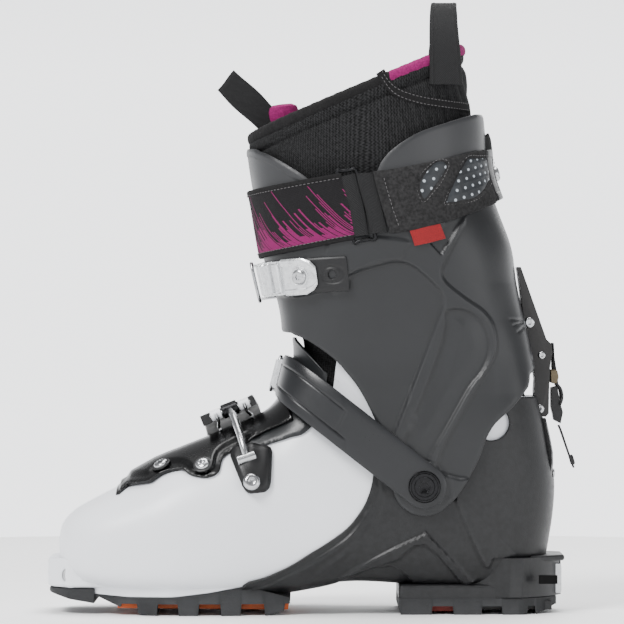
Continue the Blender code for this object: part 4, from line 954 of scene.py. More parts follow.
def soles():
    """The two lugged rubber soles, the bright cores between their lugs, and the bumper."""
    lugs = ((-176.5, -163.4, 9.5, 4.4), (-155, -143.7, 0.9, 0), (-133, -121.4, 0, 0), (-110, -98.5, 0, 0),
            (-86.5, -75, 0, 2.4))
    bottom = [(-187.0, 9.6)]
    for start, end, first, last in lugs:
        bottom += [(start - 0.01, 6.3 if start > -170 else 9.0), (start + 0.6, first), (end - 0.6, last),
                   (end, 6.3)]
    bottom += [(-72.4, 6.4)]
    top = ((-187, 12.2), (-177, 10.9), (-158.5, 9.8), (-135, 10.0), (-117, 12.2), (-98, 15.6), (-90, 14.4),
           (-72.4, 9.6))
    half = ((-187, 22), (-178, 29), (-170, 34), (-160, 38.5), (-140, 43.5), (-110, 43.5), (-85, 40),
            (-70, 36))
    tread("front_tread", bottom, top, half, RUBBER, ("outsole_front",))
    wall = [(x, float(np.interp(x, *np.array(top).T))) for x in np.linspace(-186, -101, 30)]
    tread("shell_wall", wall, [(x, z + 6.5) for x, z in wall], [(x, y - 0.5) for x, y in half], WHITE)
    lugs = ((-13, 4.8, 0, 0), (15.8, 31.8, 0, 0), (42.2, 56.7, 0, 0), (60.5, 73.0, 0, 4.6))
    bottom = []
    for start, end, first, last in lugs:
        bottom += [(start, 4.6), (start + 0.6, first), (end - 0.6, last), (end, 4.6)]
    bottom[0] = (-13.6, 3.4)
    half = [(x, 33.5 * min(1.0, math.sqrt(max(0.05, (75.9 - x) / 22)))) for x in np.linspace(-14, 75, 60)]
    tread("heel_tread", bottom, ((-14, 8.9), (75, 8.9)), half, RUBBER, ("outsole_heel",))
    dress("toe_bumper", RUBBER, 0.8)
    prism("front_core", [(-166, 3.4), (-73.6, 2.6), (-72.8, 6.4), (-72.8, 9), (-166, 9)], -30, 30, ORANGE,
          "shell",
          nodes=("sole_core",), width=0.3)
    prism("heel_core", [(2.0, 1.4), (16.5, 1.4), (16.5, 7.0), (2.0, 7.0)], -26, 26, DEEP_RED, "shell",
          width=0.3)
    prism("heel_core_rear", [(30.0, 2.0), (70.0, 2.0), (70.0, 7.0), (30.0, 7.0)], -22, 22, BLACK, "shell",
          width=0.3)


# ---------------------------------------------------------------- tongue and toe buckle

PLATE_OUTLINE = smooth(((-167, 69.2), (-160, 69.2), (-153, 70.2), (-147, 71.4), (-141.5, 75.4),
                        (-135.5, 77.6),
                        (-130, 78.2), (-125.4, 75.7), (-117.1, 74.6), (-111, 77.5), (-108.5, 85), (-100, 90),
                        (-84, 98),
                        (-72, 104), (-64, 112), (-64, 130), (-150, 130)), 4, True)


BASE_OUTLINE = [*map(tuple, smooth(((-97, 88.5), (-84, 92.2), (-72, 96), (-64, 99), (-56, 110), (-52, 130)),
                                   4)),
                (-52, 150), (-97, 150)]


ANCHOR_OUTLINE = [(-103.6, 85), (-102.6, 88.8), (-100.6, 90.4), (-97, 90.8), (-85.6, 90.6), (-83, 89.4),
                  (-82.4, 87),
                  (-83.4, 72), (-84.2, 69.2), (-86.2, 67.4), (-93.6, 66.6), (-95.6, 67.4), (-97.4, 70)]


def plate_lift(point, gap, along, around):
    """A flat glossy top with a lower flange round it."""
    crown = np.interp(point[..., 0], (-168, -164, -158, -145, -133, -119, -84), (0.8, 3.4, 4.6, 4.7, 3.8, 3.5,
                                                                                 3.8))
    return crown - 1.7 * (1 - ramp(gap, 1.8, 4.0)) * (1 - ramp(point[..., 0], -98, -90)) * ramp(crown, 0, 3)


def tongue():
    """The glossy plate over the instep with its screws, and the soft tongue under it."""
    rows = np.linspace(3.7, 7.8, 180)
    columns = even_columns(FOOT.at, (4, 6), 180, PI - 1.3, PI + 1.3, False)
    sculpt("plate_top", FOOT.at, rows, columns, GLOSS, "shell", plate_lift, 2.6, 0.6, PLATE_OUTLINE,
           nodes=("tongue_plate",))
    for name, station, around in (("front", 4.84, 2.64), ("rear", 5.66, 2.33)):
        at, normal, _ = spot(FOOT.at, station, around, 4.0)
        screw(f"plate_screw_{name}", at, normal, STEEL, "shell", 3.9, 1.9, (f"tongue_plate_screw_{name}",))
        turned(f"plate_washer_{name}", ((4.0, -0.3), (5.3, -0.3), (5.2, 0.25), (4.6, 0.5), (4.0, 0.4)), at,
               normal,
               BLACK, "shell", 40, ring=True)
        at, normal, _ = spot(FOOT.at, station, 2 * PI - around, 4.0)
        screw(f"plate_screw_far_{name}", at, normal, STEEL, "shell", 3.9, 1.9)

    def lower_lift(point, gap, along, around):
        return 1.9 - 0.5 * np.exp(-np.maximum(gap, 0) / 0.7)

    columns = even_columns(FOOT.at, (7, 9), 150, PI - 1.35, PI + 1.35, False)
    sculpt("tongue_base", FOOT.at, np.linspace(6.5, 10.3, 130), columns, TONGUE,
           "shell", lower_lift, 1.3, 0.4, BASE_OUTLINE, nodes=("tongue_lower",))


def toe_buckle():
    """Rod, rollers, lever and wire of the toe buckle, and its anchor on the shell."""
    at, normal, _ = spot(toe_strip, 1.93, 0.0, 5.3)
    screw("anchor_screw", at, normal, STEEL, "shell", 4.6, 2.1, ("toe_anchor_screw",), star=False)
    hinge, _, over = spot(toe_strip, TOE_HINGE_TURN, 0.0, TOE_HINGE_LIFT)
    axle, normal, axle_over = spot(toe_strip, TOE_AXLE_TURN, 0.0, TOE_AXLE_LIFT)
    turns = np.linspace(TOE_HINGE_TURN, TOE_AXLE_TURN - 0.05, 7)
    path = [spot(toe_strip, turn, 0.0, lift)[0]
            for turn, lift in zip(turns, np.interp(turns, (2.21, 2.36, 2.95), (4.4, 7.6, TOE_AXLE_LIFT)))]
    wire("rod_shaft", path, 2.1, STEEL, "toe_rod_body", ("toe_rod",), sides=24)
    turned("rod_barrel", ((0, -5.2), (2.3, -5.2), (2.7, -4.8), (2.7, 4.8), (2.3, 5.2), (0, 5.2)), hinge, over,
           STEEL, "toe_rod_body", 32)
    turned("rod_head", ((1.7, -4.6), (3.4, -4.6), (3.9, -4.1), (3.9, 4.1), (3.4, 4.6), (1.7, 4.6)), axle,
           axle_over, GUNMETAL, "toe_rod_body", 32, ring=True)
    turned("rod_axle", ((0, -14.6), (1.7, -14.6), (1.9, -14.3), (1.4, -14.0), (1.4, 14.0), (1.9, 14.3),
                        (1.7, 14.6), (0, 14.6)), axle, axle_over, STEEL, "toe_rod_body", 24, ("toe_axle",))
    for name, side in (("front", -1), ("rear", 1)):
        turned(f"roller_{name}", ((1.75, -3.1), (2.5, -3.1), (2.9, -2.8), (2.9, 2.8), (2.5, 3.1),
                                  (1.75, 3.1)),
               axle + axle_over * side * ROLLER_OFFSET, axle_over, ROLLER, "toe_rod_body", 32,
               (f"toe_roller_{name}",),
               ring=True)
    dress("toe_lever", BLACK, 0.6)

    def anchor_lift(point, gap, along, around):
        x, z = point[..., 0], point[..., 2]
        middle = ridge(((-93.0, 84), (-92.0, 93)), x, z, 1.2, 3.2)
        return 4.4 - 1.6 * np.exp(-np.maximum(gap, 0) / 1.1) + middle - 0.5 * ramp(z, 88, 91)

    sculpt("anchor_body", FOOT.at, np.linspace(5.6, 7.6, 110),
           even_columns(FOOT.at, (6,), 130, 1.3, 2.7, False), BLACK, "shell", anchor_lift, 3.8, 0.8,
           ANCHOR_OUTLINE, NEAR, nodes=("toe_anchor",))
    ahead = np.cross(normal, axle_over)
    ahead = ahead * np.sign(ahead[1])
    reach = ROLLER_RADIUS + WIRE_GAP + 0.9
    path = []
    hook = [axle + reach * (ahead * math.cos(turn) + normal * math.sin(turn))
            for turn in np.radians((165, 200, 235, 265))]
    turns = np.linspace(TOE_AXLE_TURN + 0.12, PI + 0.98, 9)
    for side in (-1, 1):
        arm = [point + axle_over * side * ROLLER_OFFSET for point in hook]
        arm += [spot(toe_strip, turn, side * ROLLER_OFFSET, 5.55)[0] for turn in turns]
        path += arm if side < 0 else arm[::-1]
    wire("toe_wire", path, WIRE_RADIUS, WIRE, "toe_bail_body", ("toe_bail",), sides=14, fine=4)
    dress("toe_ladder", CAST, 0.4)


# ---------------------------------------------------------------- instep band

def band_lift(point, gap, along, around):
    """Steps along the front part of the band, and a soft crown."""
    part = around
    x = point[..., 0]
    front = 1 - ramp(x, -45, -42)
    steps = 0.35 * ramp(np.abs(part), 0.50, 0.56) * front
    groove = -0.45 * np.exp(-((np.abs(part) - 0.53) / 0.035) ** 2) * front
    across = -0.4 * np.exp(-((x + 45 - part * 5) / 0.7) ** 2) * (np.abs(part) < 0.55)
    crown = -0.5 * np.abs(part) ** 6
    return steps + groove + across + crown


def instep():
    """The band over the instep, its ankle bolts, ladder, lever and wire."""
    behind = PI / 2 + 0.0192
    for name, turns, node in (("near", even_turns(-behind, 0.52, 240), "instep_band"),
                              ("far", even_turns(0.64, behind, 130), "instep_strap")):
        sculpt(f"band_{name}", raised(band_taper, BAND_WALL), turns, np.linspace(-1, 1, 46), BAND_LOOK,
               "band_body", band_lift, BAND_WALL, 0.35, nodes=(node,))
    for name, side in (("near", NEAR), ("far", FAR)):
        face = side * (BAND_HALF_SPAN + BAND_WALL)
        profile = ((0, -2), (8.2, -2), (8.6, 0.2), (8.6, 1.6), (8.1, 2.3), (7.4, 2.4), (7.1, 2.1), (5.6, 2.1),
                   (5.2, 2.5), (3.4, 2.6), (3.0, 2.3), (2.9, 0.6), (1.0, 0.2), (0, 0.2))
        turned(f"ankle_pin_{name}", profile, (0, face, PIVOT_Z), (0, side, 0), GUNMETAL, "shell", 60,
               (f"ankle_bolt_{name}",), hexes=(10, 11))
    for node in ("instep_ladder", "instep_lever"):
        dress(node, CAST, 0.5)
    dress("instep_lever_pin", STEEL, 0.2)
    buckle_wire("instep", raised(band_at, BAND_WALL), 0.86, 1.33, 0.27, 9.5, 4.4, "instep_bail_body")


def buckle_wire(prefix, surface, pivot, tip, hook, half, hook_lift, body):
    """A buckle's wire, from its lever's holes to the hook on the ladder."""
    pin_lift, bail_arm = 5.6, 7.0
    way = math.copysign(1, tip - pivot)
    run = np.linalg.norm(surface(pivot + 0.01, 0.0)[0] - surface(pivot - 0.01, 0.0)[0]) / 0.02
    hole = spot(surface, pivot + way * bail_arm / run, 0.0, pin_lift)[0]
    over = spot(surface, pivot, 0.0, pin_lift)[2]
    turns = np.linspace(pivot + way * bail_arm / run, hook, 12)
    lifts = np.linspace(pin_lift, hook_lift, 12)
    path = []
    for side in (-1, 1):
        arm = [hole + over * side * (half - 4.5)]
        arm += [spot(surface, turn, side * (half - 0.9), lift)[0] for turn, lift in zip(turns, lifts)]
        path += arm if side < 0 else arm[::-1]
    wire(f"{prefix}_wire", path, WIRE_RADIUS, WIRE, body, (f"{prefix}_bail",), sides=14, fine=4)


# ---------------------------------------------------------------- cuff

CUFF_OUTLINE = smooth(((-120, 154.4), (-79, 153.5), (-72, 152), (-64, 149), (-55, 143.5), (-47, 137.5),
                       (-42, 132), (-37, 126), (-32, 118), (-27, 108), (-21, 94), (-17, 80),
                       *((16.6 * math.sin(t), 71 - 16.6 * math.cos(t)) for t in np.radians((-78, -52, -26, 0,
                                                                                            26,
                                                                                              52))),
                       (18.4, 66), (28.5, 83), (33, 95.4), (38.3, 104.3), (48, 113), (57, 124), (61, 133),
                       (90, 136)), 3)
CUFF_TOP = ((90, 230.4), (20, 230.4), (-20, 222), (-60, 204), (-92, 197), (-120, 196))
CUFF_SHAPE = [*map(tuple, CUFF_OUTLINE), *CUFF_TOP]
PANEL_FRONT = smooth(((-101.4, 146.3), (-100.3, 174.8), (-76.1, 172.1), (-57.3, 174.8), (-40.1, 183.9),
                      (-27.7, 188.2), (-14.8, 190.9), (-6.2, 188.7), (2.4, 181.7), (9.4, 174.2),
                      (10.4, 168.3),
                      (7.3, 159.7), (-15.5, 100.0), (-32, 60), (-80.0, 80), (-120, 120)), 3, True)
PANEL_MIDDLE = smooth(((11.6, 164.0), (16.4, 165.6), (23.4, 164.5), (28.2, 161.8), (33.1, 157.0),
                       (35.8, 148.9),
                       (35.2, 140.3), (31.5, 131.7), (24.5, 123.1), (13.2, 103.2), (6.7, 92.5), (-4, 74),
                       (-13.7, 84), (-9.0, 99), (0.6, 122), (8.6, 144), (11.6, 157.0)), 3, True)
PANEL_REAR = smooth(((29.9, 226.4), (22.3, 212.4), (17.5, 203.3), (11.0, 190.9), (9.4, 185.5), (12.1, 179.6),
                     (22.9, 171.0), (32.5, 164.5), (37.9, 157.0), (39.5, 146.3), (37.4, 138.2), (28.2, 123.1),
                     (8.3, 87.1), (11.6, 76.3), (40.6, 79.0), (80.9, 132.8), (80.9, 229.6)), 3, True)
PANEL_STRAP = smooth(((-50.8, 202.7), (-11.0, 202.7), (-10.5, 197.3), (-13.2, 193.0), (-26.6, 190.9),
                      (-40.1, 183.9), (-43.3, 175.8), (-50.8, 175.8)), 3, True)
WINDOW = ((3.0, 201.1), (11.6, 215.1), (25.0, 219.9), (8.9, 194.7))
MARKS = (((48.1, 160.2), (54.6, 159.7)), ((49.7, 157.0), (54.6, 158.4)), ((51.9, 153.2), (55.1, 155.9)))


def cuff_lift(point, gap, along, around):
    """The cuff's sunk panels, swollen heel, marks and ring."""
    x, z = point[..., 0], point[..., 2]
    lift = -0.5 * np.exp(-np.maximum(gap, 0) / 0.6)
    for line, depth in ((PANEL_FRONT, 2.0), (PANEL_MIDDLE, 1.8), (PANEL_REAR, 2.0)):
        lift = lift + sunk(line, x, z, depth, 2.6)
    lift = lift + 1.0 * ramp(to_line(PANEL_MIDDLE, x, z)[0], 2.0, 11.0)
    lift = lift + 2.4 * ramp(x, 40, 62) * ramp(z, 96, 120) * (1 - ramp(z, 150, 185))
    lift = lift - sunk(PANEL_STRAP, x, z, 0.7, 2.0)
    lift = lift + sunk(WINDOW, x, z, 1.3, 0.7)
    for line in MARKS:
        lift = lift - ridge(line, x, z, 0.5, 0.55)
    boss = np.hypot(x, z - PIVOT_Z)
    lift = lift - 0.35 * np.exp(-((boss - 13.6) / 0.8) ** 2)
    return lift


def cuff():
    """The cuff with its rear spoiler, upper tongue and the spoiler's holder."""
    heights = np.r_[np.linspace(54, 200, 225), np.linspace(200, 231, 36)[1:]]
    sculpt("cuff_skin", cuff_at, heights, even_columns(cuff_at, (72, 130, 200), 560), CUFF_LOOK, "cuff_body",
           cuff_lift, 2.6, 0.4, CUFF_SHAPE, wrap=True, nodes=("cuff",),
           mask=lambda point: (np.abs(point[..., 1]) > 11.4) | (point[..., 0] < 38) | (point[..., 2] > 192)
           | (point[..., 2] < 100))

    def spoiler_lift(point, gap, along, around):
        return np.interp(along, (231, 239), (-3.4, -0.3)) - 0.5 * np.exp(-np.maximum(gap, 0) / 0.7)

    sculpt("spoiler_skin", cuff_at, np.linspace(217, 272, 84),
           even_columns(cuff_at, (240,), 200, -1.78, 1.78, False), GREY, "cuff_body", spoiler_lift, 1.9, 0.35,
           SPOILER_OUTLINE, nodes=("rear_spoiler",))

    def tongue_lift(point, gap, along, around):
        rim = np.maximum(gap, 0)
        return np.interp(along, (207, 218), (-3.5, -0.4)) - 0.6 * np.exp(-rim / 0.8) - 0.4 * ramp(rim, 3.2,
                                                                                                  4.0)

    sculpt("tongue_panel", cuff_at, np.linspace(200, 256.4, 90),
           even_columns(cuff_at, (230,), 180, PI - 1.3, PI + 1.3, False), GREY, "cuff_body", tongue_lift, 1.8,
           0.35, TONGUE_OUTLINE, nodes=("tongue_upper",))
    prism("spoiler_holder", [(18.6, 244.5), (27.8, 255), (36.2, 262.6), (37.6, 258.5), (38.4, 252.6),
                             (37.4, 247)],
          -9, 9, BLACK, "cuff_body", width=1.2)


SPOILER_OUTLINE = [*map(tuple, smooth(((-25, 240), (-22.3, 245.5), (-15.9, 252.2), (-3.3, 260.2),
                                       (14.1, 266.4),
                                       (25.4, 270), (33, 271.6), (60, 271.6)), 5)), (60, 210), (-25, 210)]
TONGUE_OUTLINE = [*map(tuple, smooth(((-130, 254.5), (-96.3, 252.6), (-90, 250.6), (-82.6, 247.5),
                                      (-70.5, 240.5),
                                      (-63.5, 235.6), (-59, 230)), 5)), (-57, 196), (-130, 196)]


# ---------------------------------------------------------------- power strap

def strap_strip(turn_from):
    """Millimetres along and across the strap, for its cloth."""
    def strip(along, around):
        fine = np.linspace(0.3, 2 * PI, 900)
        run = run_along(strap_surface(fine, 0 * fine)[0])
        u = np.interp(along, fine, run) - np.interp(turn_from, fine, run)
        return np.stack([u, around * 15.6, 0 * u], -1)
    return strip


def strap_even(start, end, count):
    """Turns along the strap's middle line at even distances."""
    fine = np.linspace(start, end, 2000)
    return evenly(fine, run_along(strap_surface(fine, 0 * fine)[0]), count)


STITCH_SIDES = 6
STITCH_SWELL, STITCH_RISE = (0.45, 0.9, 1.0, 0.9, 0.45), (0.07, 0.15, 0.17, 0.15, 0.07)


def stitch_row(name, surface, start, end, part, lift, look, body, pitch=2.3, length=1.5, radius=0.23):
    """A row of raised stitches along a strip, as one piece."""
    fine = np.linspace(start, end, 600)
    line, normal = surface(fine, np.full(fine.shape, float(part)))
    line = line + normal * lift
    run = run_along(line)
    points, faces = [], []
    for middle in np.arange(pitch, run[-1] - pitch / 2, pitch):
        ends = [np.array([np.interp(middle + d, run, line[:, k]) for k in range(3)])
                for d in np.linspace(-length / 2, length / 2, 5)]
        out = unit(np.array([np.interp(middle, run, normal[:, k]) for k in range(3)]))
        ahead = unit(ends[-1] - ends[0])
        side = np.cross(ahead, out)
        faces += tube_faces(len(ends), STITCH_SIDES, start=len(points))
        for place, thick, rise in zip(ends, STITCH_SWELL, STITCH_RISE):
            for turn in np.arange(STITCH_SIDES) * 2 * PI / STITCH_SIDES:
                points.append(place + out * rise
                              + (side * math.cos(turn) + out * math.sin(turn)) * radius * thick)
    return closed_piece(name, points, faces, look, body)


def fold_wave(along, part, size, seed):
    """Small uneven swells of a soft strip."""
    return size * (0.5 * np.sin(along * 13.0 + seed + part * 1.7)
                   + 0.3 * np.sin(along * 29.0 + seed * 2.1 - part * 2.3)
                   + 0.5 * np.cos(along * 7.0 - part * 2.0 + seed))


def power_strap():
    """The strap round the cuff's top: band, bindings, pad, windows and fittings."""
    start, end = 1.725, 2 * PI - 0.42
    rows = strap_even(start, end, 330)
    parts = np.linspace(-0.99, 0.99, 60)

    def lift(point, gap, along, part):
        swell = fold_wave(along, part, 0.22, 0.4)
        return 2.25 + swell * (1 - np.abs(part) ** 4) + 0.15 * np.abs(part) ** 8

    sculpt("strap_band", strap_surface, rows, parts, STRAP, "cuff_body", lift, 1.7, 0.3,
           nodes=("power_strap",), strip=strap_strip(start))
    for name, part in (("lower", -1.0), ("upper", 1.0)):
        fine = strap_even(start, end, 200)
        line, normal = strap_surface(fine, np.full(fine.shape, part))
        binding(f"strap_binding_{name}", line + normal * 1.55, normal, 1.5, 1.15, RIM, "cuff_body")
        stitch_row(f"strap_stitch_{name}", strap_surface, start, end, part * 0.93, 2.62, THREAD, "cuff_body")
    back_rows = strap_even(0.42, 1.56, 130)

    def pad_lift(point, gap, along, part):
        rim = np.abs(part)
        swell = fold_wave(along, part, 0.16, 2.0)
        x, z = point[..., 0], point[..., 2]
        dip = 0.0
        for outline in PAD_WINDOWS:
            inside = to_line(outline, x, z)[0]
            dip = dip - 0.75 * ramp(inside, -1.6, 0.2)
        return 3.35 - 0.9 * rim ** 6 + swell * 0.5 + dip * (point[..., 1] < 0)

    pad = sculpt("pad_cloth_back", strap_surface, back_rows, parts, FELT, "cuff_body", pad_lift, 2.4, 0.7,
                 nodes=("strap_pad",), strip=strap_strip(0.42))
    for i, outline in enumerate(PAD_WINDOWS):
        sculpt(f"pad_window_{i}", strap_surface, strap_even(0.3, 1.6, 190), np.linspace(-1, 1, 72), DOTS,
               "cuff_body",
               lambda point, gap, along, part: 2.95 + 0.12 * fold_wave(along, part, 1.0, 1.0)
               - 0.5 * np.exp(-np.maximum(gap, 0) / 0.8), 0.9, 0.1, outline, NEAR, strip=strap_strip(0.42))
        outline_stitches(f"window_stitch_{i}", outline)
    fold_end()
    strap_ring()
    strap_mount()
    strap_label()


PAD_WINDOWS = [smooth(points, 4, True) for points in (
    ((-2.9, 234.2), (4.4, 243.3), (9.2, 244.6), (10.8, 241.4), (6.6, 233.8), (0.4, 224.7), (-2.2, 226.4)),
    ((20.4, 244.6), (27.0, 247.0), (33.6, 246.4), (34.6, 238.6), (31.8, 231.4), (25.4, 224.9), (12.6, 222.6),
     (11.4, 224.6)))]


def laid_on(line, point, normal, usable=True):
    """The grid's points and normals that lie behind a side-view line."""
    path, outs = [], []
    for x, z in line:
        far = np.where(usable, np.hypot(point[..., 0] - x, point[..., 2] - z), 99)
        pick = np.unravel_index(far.argmin(), far.shape)
        path.append((x, point[pick][1], z))
        outs.append(normal[pick])
    return np.array(path), np.array(outs)


def followed(path, outs):
    """A strip function that follows a path, and the path's length."""
    run = run_along(path)

    def surface(along, _):
        place = np.stack([np.interp(along, run, path[:, k]) for k in range(3)], -1)
        return place, unit(np.stack([np.interp(along, run, outs[:, k]) for k in range(3)], -1))
    return surface, run[-1]


def outline_stitches(name, outline):
    """Stitches round a pad window, lying on the pad."""
    along, part = np.meshgrid(np.linspace(0.42, 1.56, 160), np.linspace(-1, 1, 60), indexing="ij")
    point, normal = strap_surface(along, part)
    ring = smooth(np.array(outline), 2, True)
    reach = ring - ring.mean(0)
    ring = ring.mean(0) + reach * (1 + 1.5 / np.linalg.norm(reach, axis=1))[:, None]
    line, outs = laid_on(ring, point, normal, point[..., 1] < 0)
    line = line + outs * 3.0
    for _ in range(3):
        line[:, 1] = (line[:, 1] + np.roll(line[:, 1], 1) + np.roll(line[:, 1], -1)) / 3
    surface, length = followed(np.vstack([line, line[:1]]), np.vstack([outs, outs[:1]]))
    stitch_row(name, surface, 0.0, length * 0.999, 0.0, 0.0, THREAD, "cuff_body", 2.0, 1.3, 0.2)


def binding(name, path, normals, width, tall, look, body):
    """A tape folded over an edge: a flattened round bar along a path."""
    path = np.asarray(path, float)
    side = unit(np.cross(unit(np.gradient(path, axis=0)), normals))
    return bar(name, path, side, normals, width, tall, 0.7, 14, 0.8, look, body)


def fold_end():
    """The pad's webbing folded over the ring's bar."""
    rows = np.linspace(-1, 1, 40)
    columns = np.linspace(0, 2 * PI, 28, endpoint=False)
    points, strip = [], []
    for part in rows:
        at, normal = strap_surface(1.59, part * 0.99)
        ahead = unit(strap_surface(1.60, part)[0] - strap_surface(1.57, part)[0])
        for turn in columns:
            along = 4.6 * signed_power(math.cos(turn), 0.8)
            tall = 1.75 * signed_power(math.sin(turn), 0.8)
            points.append(at + ahead * along + normal * (2.1 + tall))
            strip.append((turn * 2.4, part * 16, 0))
    faces = tube_faces(len(rows), len(columns))
    closed_piece("pad_fold", points, faces, WEBBING, "cuff_body", strip=strip)
    stitch_row("fold_stitch", lambda along, part: strap_surface(1.52 + 0 * along, along), -0.9, 0.9, 0.0,
               3.75,
               THREAD, "cuff_body")


def strap_ring():
    """The ring that joins band and pad, and the webbing on its bar."""
    corners = ((1.61, -0.98), (1.63, 0.98), (1.75, 1.0), (1.73, -1.0))
    loop = []
    for i, (turn, part) in enumerate(corners):
        following = corners[(i + 1) % 4]
        for step in np.linspace(0, 1, 5)[:-1]:
            around = turn + (following[0] - turn) * step
            level = (part + (following[1] - part) * step) * 1.16
            at, normal = strap_surface(around, level)
            loop.append(at + normal * 1.15)
    wire("ring_wire", loop, 1.0, GUNMETAL, "cuff_body", ("strap_ring",), closed=True, sides=16, fine=5)
    path, outs = [], []
    for part in np.linspace(-1.06, 1.06, 60):
        at, normal = strap_surface(1.68, part * 0.94)
        path.append(at + normal * 1.5)
        outs.append(normal)
    binding("ring_bar", path, np.array(outs), 4.2, 1.0, WEBBING, "cuff_body")


def strap_mount():
    """The block that holds the strap at the back, with its screw."""
    rows = np.linspace(-0.38, 0.38, 70)

    def lift(point, gap, along, part):
        rim = np.minimum(1 - np.abs(part), (0.38 - np.abs(along)) * 3)
        return 3.4 - 0.6 * np.exp(-rim / 0.03) - 0.35 * (np.abs(part) < 0.72) * (np.abs(along) > 0.13)

    sculpt("mount_block", strap_surface, rows, np.linspace(-0.96, 0.96, 60), BLACK, "cuff_body", lift, 2.6,
           0.4,
           nodes=("strap_mount",))
    at, normal, _ = spot(strap_surface, 0.0, 0.0, 3.4)
    screw("mount_screw", at, normal, STEEL, "cuff_body", 4.2, 2.6, ("strap_mount_screw",), star=False)


def strap_label():
    """A blank red tag under the strap."""
    def lift(point, gap, along, part):
        return 1.5 + 0.3 * np.sin((along - 1.24) / 0.23 * PI) ** 2 + 0.5 * ((part + 1.52) / 0.46)

    sculpt("red_tag", strap_surface, np.linspace(1.24, 1.47, 46), np.linspace(-1.52, -1.02, 34), RED,
           "cuff_body",
           lift,
           0.5, 0.12, nodes=("strap_label",), strip=strap_strip(1.2))


# ---------------------------------------------------------------- cuff buckle

SPARE_HOLE_TURN, SPARE_HOLE_RADIUS, CUFF_GIRTH_RADIUS = 1.92, 2.5, 46
SPARE_HOLE = spot(cuff_buckle_strip, SPARE_HOLE_TURN, 0.0, 0.0)[0]


def cuff_buckle():
    """The cuff's ladder on its bed, with a spare hole, and the lever and wire."""
    def base_lift(point, gap, along, across):
        rim = 9 - np.abs(across)
        hole = np.hypot((along - SPARE_HOLE_TURN) * CUFF_GIRTH_RADIUS, across)
        return 2.1 - 0.5 * np.exp(-rim / 0.7) - 0.5 * np.exp(-((hole - 4.3) / 0.9) ** 2)

    sculpt("ladder_bed", cuff_buckle_strip, np.linspace(1.80, PI + 0.12, 200), np.linspace(-9, 9, 44), BLACK,
           "cuff_body", base_lift, 1.5, 0.4, nodes=("cuff_ladder_base",),
           mask=lambda point: np.linalg.norm(point - SPARE_HOLE, axis=-1) > SPARE_HOLE_RADIUS)

    def ridges(point, gap, along, part):
        share = (along - 2.48) / (PI + 0.1 - 2.48) * 5.0
        saw = share - np.floor(share)
        tooth = ramp(saw, 0.0, 0.22) * (1 - ramp(saw, 0.62, 0.8))
        flat = ramp(along, 2.44, 2.5)
        side = ramp(np.abs(part), 0.86, 0.93)
        rise = (0.5 + 3.3 * tooth) * (1 - side) + (0.5 + 2.3 * tooth) * side
        plate = 2.3 - 0.5 * np.exp(-(1 - np.abs(part)) / 0.05) + 0.4 * ramp(np.abs(part), 0.66, 0.74)
        return rise * flat + plate * (1 - flat)

    def ladder_surface(around, part):
        width = np.interp(around, (2.06, 2.10, 2.18, 2.44, 2.46, 3.3), (4.5, 7.5, 9.5, 9.5, 8.8, 8.8))
        return raised_cuff_strip(around, part * width)

    sculpt("ladder_cast", ladder_surface, np.linspace(2.06, PI + 0.1, 280), np.linspace(-1, 1, 60), CAST,
           "cuff_body", ridges, 1.6, 0.4, nodes=("cuff_ladder",))
    at, normal, _ = spot(raised_cuff_strip, 2.235, 0.0, 2.3)
    screw("ladder_screw", at, normal, STEEL, "cuff_body", 4.1, 1.9, ("cuff_ladder_screw",), star=False)
    turned("ladder_washer", ((4.2, -0.3), (5.4, -0.3), (5.3, 0.3), (4.7, 0.5), (4.2, 0.3)), at, normal, CAST,
           "cuff_body", 40, ring=True)
    # A near-black disc painting the shade inside the spare hole.
    hole, outward, _ = spot(cuff_buckle_strip, SPARE_HOLE_TURN, 0.0, 0.2)
    turned("spare_hole_shade", ((0, -0.3), (2.7, -0.3), (2.7, 0.4), (0, 0.4)), hole, outward, SHADE_BLACK,
           "cuff_body",
           32)
    dress("cuff_buckle_base", BLACK, 0.4)
    dress("cuff_lever", CAST, 0.7)
    dress("cuff_lever_pin", STEEL, 0.2)
    buckle_wire("cuff", cuff_buckle_strip, PI + 0.95, PI + 1.72, PI + 0.02, 10.0, 7.4, "cuff_bail_body")


# ---------------------------------------------------------------- walk lever, catch and pull

